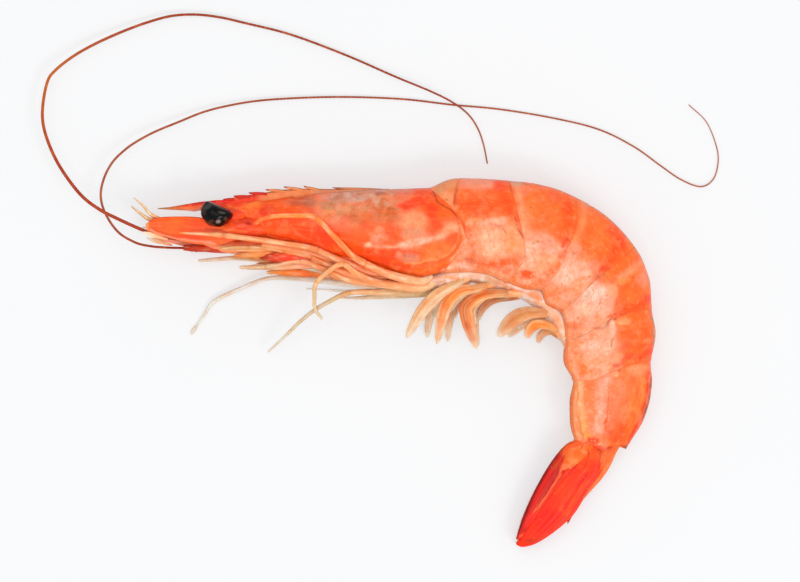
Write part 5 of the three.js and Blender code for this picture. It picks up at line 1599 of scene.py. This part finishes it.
def add_scale(side, sign):
    """The broad flat scale of the second feeler, with a thin web and bristles at its tip."""
    shift = (0, 0) if sign > 0 else (0.8, -1.3)
    upper, lower = np.array(SCALE_UPPER) + shift, np.array(SCALE_LOWER) + shift
    levels = [sign * level for level in SCALE_LEVELS]
    rings, share, across = leaf(upper, lower, levels, (0.3, 0.3), 130, 30, scale_crease)
    paint = Paint(rings, "ff6a2c", 0.4, 81)
    paint.mottle(3.0, "ff5018", 0.5, 82)
    veins = np.column_stack([across * 9, share * 2.5, 0 * share])
    paint.grain(veins, 84, 0.1, 0.6, "ff9a5c", 0.5)
    paint.grain(veins * [1.6, 1, 1] + 5, 87, 0.1, 0.6, "e8481a", 0.45)
    paint.grain(veins * [2.6, 1.6, 1] + 9, 88, 0.1, 0.6, "ff8a4c", 0.4)
    paint.mark(ease(0.9, 0.98, across), "e8703c", 0.7)
    paint.mark(1 - ease(0.01, 0.07, across), "a85020", 0.8)
    paint.mark(1 - ease(0.02, 0.1, share), "fcbc8c", 0.8)
    paint.draw(SCALE_MARKS)
    if sign < 0:
        paint.mark(ease(0.55, 0.85, across), "ffb898", 0.85)
    web_rows = on_side([(*seen((x, y))[0], 2.4, half, 0.12) for x, y, half in SCALE_WEB], sign, shift)
    bodies = [
        closed_body(rings, paint.rgba()),
        limb_body(web_rows, (), ("fff0e0", "fde0c8", "fcc8a4", "fbb48c"), 30, "f4c0a0", 30, 0.1, fibre=0.3),
        fringe(rings[:8], 16, (0.0, 0.9), 40, (0.6, 1.3), -0.9, 0.03, "fff2e6", 86),
    ]
    add_piece(f"feeler_scale_{side}", bodies, "head_shell", f"antennal_scale_{side}")


def add_short_feeler(side, sign):
    """The first feeler: a jointed stem with two short branches."""
    stem_path = on_side(ANTENNULE_STEM, sign, (0.1, -0.2))
    bodies = [limb_body(stem_path, (1.2, 2.5), ("f28a48", "f7743a", "f56a34"), 22, "c8481c", 24)]
    for k, path in enumerate(ANTENNULE_BRANCHES):
        path = on_side(path, sign, (0.1, -0.2))
        bodies.append(limb_body(path, (), ("ecd6bc", "f8d4b2", "f8b890"), 23 + k, "b86a44", 16, 0.1))
    add_piece(f"short_feeler_{side}", bodies, "limb", f"antennule_{side}")


def add_feeler_base(side, sign):
    """The thick root of a whisker with the swelling under the cheek."""
    base_path = on_side(ANTENNA_BASE, sign, (0.2, -2.0))
    base_tones = ("c83c26", "d8442a", "e24c2a", "ef5a26")
    base = limb_body(base_path, (0.9, 2.2), base_tones, 25, "b03422", 28, fibre=0.15)
    cheek_rows = [(*seen((x, y))[0], sign * z, half, 0.8 * half) for x, y, z, half in CHEEK_ROWS]
    cheek_tones = ("fb7640", "fb5e2a", "f24a24", "fa5828", "fb6230")
    cheek = limb_body(cheek_rows, (), cheek_tones, 26, "f04c20", 40, 0.16, CHEEK_MARKS, 0.08)
    bodies = [base, cheek]
    if sign < 0:
        strip_rows = [(*seen((x, y))[0], -1.0, half) for x, y, half in WHISKER_STRIP]
        strip_tones = ("c83a24", "e2442a", "de3a22", "c8341f")
        bodies.append(limb_body(strip_rows, (1.0,), strip_tones, 28, "a8281a", fibre=0.15))
    add_piece(f"feeler_base_{side}", bodies, "head_shell", f"antenna_base_{side}")


add_head_side("left", 1)
add_head_side("right", -1)

# Swimmerets and the belly

# The swimmerets' middle lines from the belly to their tips, the front one first
SWIMMERETS = {
    "left": [
        [
            (21.6, 3, 2.6), (19.6, 0.9, 3.2), (16.6, -1, 3.9), (13, -3, 3.8), (9.4, -6.6, 2.4),
            (5.6, -12.8, -0.6),
        ],
        [
            (27.6, 1.4, 2.6), (25.4, -0.6, 3.2), (21, -1.9, 4), (17, -2.8, 4), (14.1, -6.4, 2.4),
            (12.4, -14.2, -0.8),
        ],
        [
            (34.2, -0.8, 2.6), (31.8, -2.6, 3.2), (27, -3.1, 4.2), (22.6, -3.3, 4.1), (18.9, -6.1, 2.6),
            (19.5, -10.2, 0.6), (21.2, -15.3, -1.4),
        ],
        [
            (40.2, -6.2, 2.4), (38, -7.2, 3), (34.6, -7.2, 3.9), (31.4, -7.5, 3.7), (28.4, -9.4, 2.6),
            (25.8, -12.6, 0.8),
        ],
        [
            (42, -12.8, 2.2), (40.2, -12.2, 2.6), (37.6, -10.4, 3.4), (34.8, -9.7, 3.1), (33, -10.6, 2.4),
            (32.2, -12.9, 0.8),
        ],
    ],
    "right": [
        [
            (21.7, 2.7, -2.6), (19.8, 0.4, -3.3), (16.7, -2.2, -4.2), (13.3, -4.4, -4.8), (11, -8, -5.6),
            (10.2, -12.8, -6.7),
        ],
        [
            (27.7, 1.1, -2.6), (25.6, -1.1, -3.3), (21.3, -2.9, -4.2), (17.6, -4.4, -5), (15.4, -8, -5.8),
            (14.8, -13.7, -6.8),
        ],
        [
            (34.3, -1.1, -2.6), (32, -3.1, -3.3), (27.6, -4, -4.3), (23.4, -5, -5), (20.8, -8.4, -5.8),
            (21.6, -14.6, -6.9),
        ],
        [
            (40.3, -7, -2.4), (38.4, -8.4, -3.2), (35.4, -8.8, -4.2), (32.6, -9.2, -4.9),
            (29.9, -10.6, -5.6), (28.2, -12.6, -6.3),
        ],
        [
            (42.1, -13.6, -2.2), (40.6, -13.2, -2.9), (38.6, -11.8, -3.8), (36.4, -11.5, -4.4),
            (35.2, -12.4, -5), (34.8, -14, -5.6),
        ],
    ],
}
# A blade's half width and half thickness at places along it, and a stem's
BLADE_PLACES = (0, 0.17, 0.34, 0.52, 0.7, 0.85, 0.95, 1)
BLADE = [
    (0.9, 0.8), (1, 0.7), (1.25, 0.5), (1.45, 0.34), (1.42, 0.26), (1.15, 0.2), (0.7, 0.14), (0.12, 0.06),
]
STEM = [(1.15, 1), (1, 0.88), (0.85, 0.76), (0.7, 0.64)]
BLADE_COLUMNS, BLADE_STEP, BLADE_BRISTLES = 28, 0.19, 60
SWIMMERET_SIZES = {1: 1.0, 2: 1.0, 3: 1.0, 4: 1.15, 5: 0.85}
SWIMMERET_STRIPES = {
    1: ("e0b088", "eebc90", "f8d8bc", "f0c4a4"),
    2: ("eab890", "f07e3c", "f0a464", "f4d0b0"),
    3: ("f08c4c", "d65c2c", "ee8444", "f4c08c"),
    4: ("e6c0a4", "dc8c58", "ecb088"),
    5: ("f0b888", "f8984c", "f69c64"),
}


def read(path, share):
    """A smooth path's points at shares of its way."""
    return smooth(path, np.asarray(share) * (len(path) - 1))


def blade_body(path, from_share, to_share, scale, stripes, seed, pale=0.0, spread=0.0, inwards=0.0):
    """One flat blade of a swimmeret with ribs and stripes along it, and the bristles of its far half."""
    share = np.array(BLADE_PLACES)
    middle = read(path, from_share + (to_share - from_share) * share)
    middle[:, 0] += spread * share
    middle[:, 2] += inwards * share
    columns = BLADE_COLUMNS
    rings, share = tube([(*m, w * scale, t) for m, (w, t) in zip(middle, BLADE)], columns, BLADE_STEP)
    across = np.cos(angles(columns))
    rings[..., 2] += 0.09 * np.cos(across * 2.5 * math.pi + seed) * np.sin(share * math.pi)[:, None]
    rings[..., 2] = np.maximum(rings[..., 2], -MIDDLE)
    reach, across = np.repeat(share, columns), np.tile(across, len(share))
    wander = wave_noise(np.column_stack([across * 2, reach * 2, 0 * reach + seed]), 690 + seed)
    paint = Paint(rings, stripes[0], 0.0, seed, 0.05)
    paint.colour = tones_along(0.5 + 0.5 * np.clip(across + 0.35 * wander, -1, 1), stripes)
    fibres = np.column_stack([across * 7, reach * 2.5, 0 * reach + seed])
    paint.grain(fibres, 700 + seed, 0.0, 0.5, "fee0c4", 0.4)
    paint.grain(fibres * 1.3 + 9, 701 + seed, 0.1, 0.6, "dc7438", 0.35)
    paint.mark(1 + 0 * reach, "f4dcc4", pale)
    paint.mark(ease(0.86, 0.99, np.abs(across)), "c98c5c", 0.45 * (1 - pale))
    paint.mark(ease(0.5, 1.0, reach), "f2e0d0", 0.75)
    paint.mark(1 - ease(0.0, 0.25, reach), "f4b48c", 0.5)
    paint.colour = warmed(paint.colour, 0.88)
    bodies = [closed_body(rings, paint.rgba())]
    lengths = (0.3 * scale, 0.9 * scale)
    for column in (0, columns // 2):
        hem = fringe(rings, column, (0.4, 0.97), BLADE_BRISTLES, lengths, 0.5, 0.018, "fff6ee", seed + column)
        bodies.append(hem)
    return bodies


def add_swimmeret(number, side, sign, path):
    """One swimmeret: a stem and its two blades."""
    seed = number + (0 if sign > 0 else 10)
    stripes = SWIMMERET_STRIPES[number]
    stem_rows = [(*m, w, t) for m, (w, t) in zip(read(path, np.linspace(0, 0.45, len(STEM))), STEM)]
    stem = limb_body(stem_rows, (), ("fbccb0", "fab88e", stripes[1]), seed, stripes[0], 24)
    size = SWIMMERET_SIZES[number] * (1 if sign > 0 else 0.7)
    # The far side's blades are painted paler: painted light that offsets the shade they lie in
    pale = 0.0 if sign > 0 else 0.5
    outer = blade_body(path, 0.3, 1.0, size, stripes, seed, pale)
    apart = (1.5 if number < 4 else 0.7) * size
    inner = blade_body(path, 0.3, 0.82, 0.8 * size, stripes, seed + 30, 0.3, apart, -sign * 1.1)
    add_piece(f"paddle_{number}_{side}", [stem, *outer, *inner], "swimmeret", f"swimmeret_{number}_{side}")


for paddle_side, paddle_sign in (("left", 1), ("right", -1)):
    for paddle_number, paddle_path in enumerate(SWIMMERETS[paddle_side], 1):
        add_swimmeret(paddle_number, paddle_side, paddle_sign, paddle_path)

BELLY_COLUMNS, BELLY_STEP = 56, 0.2
# Rows of x and y in pixels, half width and half height
BELLY_ROWS = [
    (412, 283, 0.8, 2.4), (427, 281.5, 1.7, 3.6), (439, 279.5, 2.3, 4.4), (450, 276, 2.5, 4.9),
    (460, 273, 2.5, 4.95), (472, 272, 2.4, 4.95), (486, 275.5, 2.5, 4.95), (500, 280.5, 2.5, 4.95),
    (513, 284, 2.4, 4.9), (527, 290.5, 2.3, 4.9), (540, 297, 2.7, 4.9), (551, 307.5, 2.4, 4.7),
    (559, 320, 2.2, 4.5), (565.5, 334, 1.8, 4.3), (570, 348, 1.2, 3.9), (574, 362, 0.6, 2.5),
]
BELLY_MARKS = [
    blob(456, 283, 9, 4, "f9ccb8", 0.9, 10),
    line(1.4, "f6a460", 0.8, (447, 276), (453, 278), (459, 280)),
    line(1.4, "dc9c74", 0.7, (428, 283), (437, 284), (446, 280)),
    blob(474, 275, 8, 3, "fcd0b4", 0.9),
    blob(466, 286, 4, 5, "e8bc80", 0.8),
    blob(492, 282.5, 11, 4, "dcc4a0", 0.9, -8),
    line(1.2, "f4b49c", 0.8, (480, 286), (492, 286.5), (503, 283)),
    line(1.2, "d08850", 0.8, (470, 283), (478, 288.5), (492, 289.5), (506, 287)),
    blob(512, 291.5, 10, 2.4, "fbcab0", 0.9, 4),
    blob(545, 311, 12, 6, "f8ccb4", 0.9, -35),
    blob(536, 296, 7, 3, "ee9c64", 0.8, -30),
    line(1.5, "ea9464", 0.75, (486, 277), (500, 283.5), (514, 288), (530, 294), (541, 300)),
    line(1.8, "f8b48c", 0.7, (434, 279.5), (446, 276.5), (458, 274.5)),
    blob(475, 281.5, 6, 2, "dc9668", 0.8, -8),
    blob(556, 322, 3, 9, "f4a878", 0.7, 30),
    line(1.2, "f2b06c", 0.7, (528, 301), (541, 303), (552, 310), (560, 322), (565, 338)),
    line(1.6, "eda45c", 0.8, (529, 306), (543, 318), (555, 327), (561, 339), (566, 350)),
]


def add_belly():
    """The soft folded skin between the shell rings' lower edges."""
    rows = [(*seen((x, y))[0], 0.0, wide, tall) for x, y, wide, tall in BELLY_ROWS]
    rings, share = tube(rows, BELLY_COLUMNS, BELLY_STEP)
    turn = angles(BELLY_COLUMNS)
    folds = 0.09 * np.sin(share * 150)[:, None] * (0.6 + 0.4 * np.sin(3 * turn + 1))
    folds = folds + 0.12 * lumps(rings, 2.2, 650)
    rings = swollen(rings, folds)
    paint = Paint(rings, "fedac6", 0.4, 66, 0.05)
    # Painted light and shade: lighter where the folds bulge out, darker in the hollows between them
    paint.mark(ease(0.0, 0.12, flat(folds)), "ffeade", 0.6)
    paint.mark(ease(0.0, 0.14, -flat(folds)), "f4b898", 0.5)
    paint.draw(BELLY_MARKS)
    add_piece("belly_skin", [closed_body(rings, paint.rgba())], "limb")


add_belly()

# The tail fan, with the outlines of its blades from root to tip

TELSON_OUTER = [
    (53.2, -36.4), (52.3, -37.6), (50.6, -41.2), (48.6, -44.2), (45.2, -47.9), (43, -50.6), (41.7, -53.4),
]
TELSON_INNER = [
    (48.4, -36.2), (47.8, -37.6), (47, -40.6), (45.6, -43.6), (44, -46.6), (42.4, -50), (41.1, -53.6),
]
ENDOPOD_OUTER = [
    (47.6, -36.4), (48.3, -38.8), (48.2, -42.4), (45.6, -46.8), (42.6, -51.7), (38.8, -55.2), (34.6, -58),
    (31.6, -58.9), (30.1, -58.6),
]
ENDOPOD_INNER = [
    (45, -36.2), (43.6, -38), (41.4, -40.8), (38.4, -44.5), (35.2, -49.4), (32.6, -53.8), (31, -56.6),
    (30.3, -57.8), (29.9, -58.2),
]
EXOPOD_OUTER = [
    (45, -36.2), (44.4, -38.6), (43, -41.2), (39.8, -44.4), (36.8, -48.4), (33.6, -53.2), (30.6, -57.4),
]
EXOPOD_INNER = [
    (43.4, -35.3), (41.2, -36.2), (38.9, -38.6), (36.3, -42.4), (33.6, -47.4), (31.4, -52.4),
    (29.9, -57.2),
]
TAIL_DROOP = (3.7, 5.4)
FAN_ROWS, FAN_COLUMNS, FAN_BRISTLES = 130, 36, 110


def droop(levels):
    """Levels at the root and the tip of the fan, lowered as the tail sinks."""
    return [level - fall for level, fall in zip(levels, TAIL_DROOP)]


def fan_blade(name, node, outer, inner, levels, halves, base, marks, crease, seed, extra=()):
    """One blade of the tail fan between its outer and inner edges, with bristles along both."""
    rings, share, across = leaf(outer, inner, droop(levels), halves, FAN_ROWS, FAN_COLUMNS, crease)
    paint = Paint(rings, base, 0.25, seed)
    veins = np.column_stack([across * 14, share * 2.0, 0 * share + seed])
    paint.draw(marks)
    paint.grain(veins, 900 + seed, 0.1, 0.6, "ff7048", 0.3)
    paint.grain(veins * [1.7, 1, 1] + 5, 901 + seed, 0.2, 0.7, "b51a10", 0.3)
    bodies = [closed_body(rings, paint.rgba())]
    lengths = (0.12, 0.4)
    for column in (0, FAN_COLUMNS):
        hem = fringe(rings, column, (0.6, 0.97), FAN_BRISTLES, lengths, 0.6, 0.022, "e04a30", seed + column)
        bodies.append(hem)
    add_piece(name, [*bodies, *extra], "tail_fan", node)


def folds(*ridges):
    """Ridges and grooves along a leaf: each is a place across it, a width and a height."""

    def lift(share, across):
        total = sum(height * np.exp(-(((across - at) / width) ** 2)) for at, width, height in ridges)
        return total * ease(0.0, 0.1, share) * (1 - share**2)

    return lift


TELSON_MARKS = [
    blob(604, 462, 16, 14, "fb7c40", 0.9, 50),
    line(1.5, "ee8e5c", 0.9, (619, 449), (611, 463), (601, 478), (590, 492), (580, 505)),
    line(0.8, "b06838", 0.8, (622, 450), (614, 464), (604, 479), (593, 493)),
    line(1.6, "f05e24", 0.8, (603, 462), (598, 474), (590, 486), (582, 498)),
    line(1.2, "ffa070", 0.6, (610, 452), (604, 464), (596, 477)),
    line(1.1, "a02418", 0.9, (584, 499), (577, 507), (572, 516), (568.5, 524)),
    blob(593, 455, 4.5, 4, "ff8c5c", 0.85),
    # Painted light: a pale stroke by the inner edge, offsetting the shade beside the raised inner blade
    line(2.4, "ff9a68", 0.9, (600, 449), (599.5, 458), (598, 468)),
    line(1.2, "c8581c", 0.7, (601, 464), (597, 472)),
    line(0.9, "b8281a", 0.7, (590, 485), (580, 500)),
]
ENDOPOD_MARKS = [
    blob(588, 461, 7, 6, "ff4420", 0.9),
    blob(583, 467, 9, 4, "f55a2c", 0.7, -20),
    line(1.1, "ff6a44", 0.8, (585, 470), (577, 481), (570, 491), (562, 503), (556, 513)),
    line(1.4, "dc2a10", 0.8, (587, 475), (580, 485), (572, 497), (566, 505)),
    line(1, "dd3616", 0.8, (594, 478), (586, 490), (579, 500), (573, 510)),
    line(1.8, "fb5e36", 0.8, (588, 481), (580, 492), (573, 502), (568, 514)),
    line(1.3, "e04a1c", 0.7, (574, 475), (566, 483), (558, 492)),
    blob(566, 490, 9, 14, "ff4a28", 0.6, 55),
    blob(548, 521, 16, 11, "ff2c22", 0.9, 55),
    blob(556, 506, 6, 8, "ff3c2c", 0.7, 50),
    line(1.2, "b04a20", 0.7, (566, 516), (562, 522), (556, 528)),
    line(1.6, "fb6234", 0.6, (566, 515), (560, 510), (562, 506)),
    blob(535, 543, 14, 3.6, "e23c1c", 0.9, -8),
    line(1, "a82818", 0.8, (564, 526), (555, 534), (543, 541.5), (532, 547.5), (520, 549.5)),
    line(1.4, "c8401e", 0.6, (548, 534), (540, 539), (530, 541)),
    blob(592, 455, 11, 9, "f86c38", 0.85),
    blob(591, 466, 5, 8, "fc4420", 0.7),
]
EXOPOD_MARKS = [
    blob(568, 449, 8, 5, "e8703c", 0.9, 40),
    line(2.6, "b82020", 0.55, (556, 458), (549, 470), (542, 482), (535, 494), (529, 506)),
    blob(556, 466, 5, 9, "d04a28", 0.55, 60),
    line(2.6, "f4481e", 0.9, (570, 468), (562, 482), (553, 495), (544, 508), (536, 518)),
    line(
        1.5, "7a1820", 0.95,
        (566, 444), (559, 453), (551, 465), (544, 476), (538, 487), (531, 499), (526, 512), (521, 527),
    ),
    line(1.9, "e22c30", 0.85, (551, 470), (544, 484), (537, 498), (531, 512)),
    line(2, "c0220c", 0.8, (559, 470), (552, 483), (546, 494), (540, 504), (534, 514)),
    # Painted highlight: a bright orange line along the blade's ridge
    line(
        1.1, "ff7850", 0.95,
        (564, 464), (559, 476), (552, 488), (546, 497), (540, 505), (534, 513), (531, 518),
    ),
    blob(533, 522, 9, 8, "f22a1e", 0.9, 60),
    line(1.4, "ff6c48", 0.85, (531, 531), (526, 534), (521, 537)),
    line(1, "8c2018", 0.85, (521, 528), (519, 534), (517, 541)),
    blob(575, 446, 15, 8, "ee6c3c", 0.95, 20),
    line(0.9, "9c3820", 0.8, (574, 440), (566, 444), (560, 451)),
]

SPIKE_ROWS = [(580, 502, 0.3), (573.5, 513, 0.28), (568, 525, 0.05)]
spike_rows = [(*seen((x, y))[0], -TAIL_DROOP[1], half) for x, y, half in SPIKE_ROWS]
spike = limb_body(spike_rows, (), ("c03820", "a82a1c", "8c2018"), 29, "8c2018", 12, 0.1, fibre=0.1)
fan_blade(
    "tail_spike", "telson", TELSON_OUTER, TELSON_INNER, (0, 0), (1.1, 0.35), "fa8048", TELSON_MARKS,
    folds((0.5, 0.12, -0.3), (0.3, 0.07, 0.12), (0.7, 0.07, 0.12)), 1, [spike],
)
for fan_side, fan_sign in (("left", 1), ("right", -1)):
    fan_blade(
        f"tail_blade_inner_{fan_side}", f"uropod_inner_{fan_side}", ENDOPOD_OUTER, ENDOPOD_INNER,
        (fan_sign * 2.0, fan_sign * 1.2), (0.42, 0.26), "fc3c22", ENDOPOD_MARKS,
        folds((0.45, 0.04, 0.24), (0.37, 0.03, -0.12), (0.62, 0.05, -0.1), (0.2, 0.05, 0.1)), 2 + fan_sign,
    )
    fan_blade(
        f"tail_blade_outer_{fan_side}", f"uropod_outer_{fan_side}", EXOPOD_OUTER, EXOPOD_INNER,
        (fan_sign * 3.3, fan_sign * 2.2), (0.42, 0.26), "d6261c", EXOPOD_MARKS,
        folds((0.22, 0.05, 0.26), (0.38, 0.06, -0.14), (0.6, 0.06, 0.1), (0.85, 0.05, 0.1)), 6 + fan_sign,
    )

POD_TONES = ("f88040", "fa783a", "f87238", "ee7440", "f46c40", "f05030")
POD_ROWS = [
    (594, 432, 1.8, 1.3), (587, 441, 2.2, 2), (580, 449, 2.4, 2.2), (573, 457, 2.5, 1.9),
    (567, 465, 2.3, 1.3), (562, 473, 1.9, 0.5), (559, 479, 1.7, 0.15),
]
POD_MARKS = [
    dots((571.5, 457), (569, 461), (579, 468)),
    line(2.6, "fa9c5c", 0.85, (576, 434), (579, 443), (583, 452)),
    blob(570, 456, 4, 6, "ea8848", 0.8, 30),
    blob(579, 457, 6, 6, "ff6c28", 0.8),
    blob(574, 461, 5, 2.5, "fd9058", 0.7),
    blob(566, 468, 5, 4, "fa8e60", 0.9),
    line(1, "c8401c", 0.8, (588, 450), (589, 457), (586, 461)),
    line(1.2, "c06a34", 0.6, (564, 452), (560, 459), (561, 466)),
    blob(572, 447, 7, 4, "f98a50", 0.8, 20),
]


def add_pod(side, sign):
    """The short base that carries the two side blades of the fan."""
    rows = [(*seen((x, y))[0], sign * z - TAIL_DROOP[0], half, 0.5 * half) for x, y, z, half in POD_ROWS]
    body = limb_body(rows, (), POD_TONES, 27, "f46a34", 40, 0.16, POD_MARKS, 0.1)
    add_piece(f"tail_pod_{side}", [body], "tail_fan")


add_pod("left", 1)
add_pod("right", -1)

# The table, the light and the camera


def add_floor():
    """The plain white ground."""
    mesh = bpy.data.meshes.new("table")
    half, level = 3.0, -0.00003
    corners = [(x * half, y * half, level) for x, y in ((-1, -1), (1, -1), (1, 1), (-1, 1))]
    mesh.from_pydata(corners, [], [(0, 1, 2, 3)])
    material = bpy.data.materials.new("white_table")
    material.use_nodes = True
    tree = material.node_tree
    skin = tree.nodes["Principled BSDF"]
    place = wire(tree, "ShaderNodeTexCoord").outputs["Object"]
    noise = wire(tree, "ShaderNodeTexNoise", {"Vector": place, "Scale": 18.0, "Detail": 3.0})
    white = mix_colour(tree, noise.outputs[0], (0.33, 0.332, 0.336, 1.0), (0.345, 0.347, 0.35, 1.0))
    tree.links.new(white, skin.inputs["Base Color"])
    skin.inputs["Emission Color"].default_value = (0.99, 0.995, 1.0, 1.0)
    skin.inputs["Emission Strength"].default_value = 0.52
    skin.inputs["Roughness"].default_value = 0.65
    skin.inputs["Specular IOR Level"].default_value = 0.2
    mesh.materials.append(material)
    floor = put("table", mesh)


def add_light(name, place, size, power, colour):
    """A round lamp that looks at the middle of the table."""
    data = bpy.data.lights.new(name, "AREA")
    data.shape = "DISK"
    data.size = size
    data.energy = power
    data.color = colour
    lamp = put(name, data)
    lamp.location = place
    aim = -np.array(place) / np.linalg.norm(place)
    lamp.rotation_euler = (math.acos(-aim[2]), 0, math.atan2(aim[1], aim[0]) - math.pi / 2)


def add_camera():
    """The camera straight above the middle of the photograph, which it frames."""
    data = bpy.data.cameras.new("camera")
    camera = put("camera", data)
    distance = 1.6
    camera.location = (*(seen((PHOTO_WIDTH / 2, PHOTO_HEIGHT / 2))[0] * MM), distance + MIDDLE * MM)
    data.sensor_width = 36
    data.lens = data.sensor_width * distance / (PHOTO_WIDTH * PIXEL * MM)
    data.clip_end = 20
    bpy.context.scene.camera = camera


world = bpy.data.worlds.new("studio")
bpy.context.scene.world = world
world.use_nodes = True
world.node_tree.nodes["Background"].inputs["Color"].default_value = (0.97, 0.98, 1.0, 1.0)
world.node_tree.nodes["Background"].inputs["Strength"].default_value = 0.85
add_light("key", (0.55, -0.6, 1.0), 0.5, 4.5, (1.0, 0.985, 0.96))
add_light("top", (-0.1, 0.2, 1.4), 1.2, 5.0, (1.0, 1.0, 1.0))
add_light("glint", (0.1, -0.7, 1.1), 0.08, 0.8, (1.0, 1.0, 1.0))
add_floor()
add_camera()
bpy.context.scene.view_settings.view_transform = "Standard"
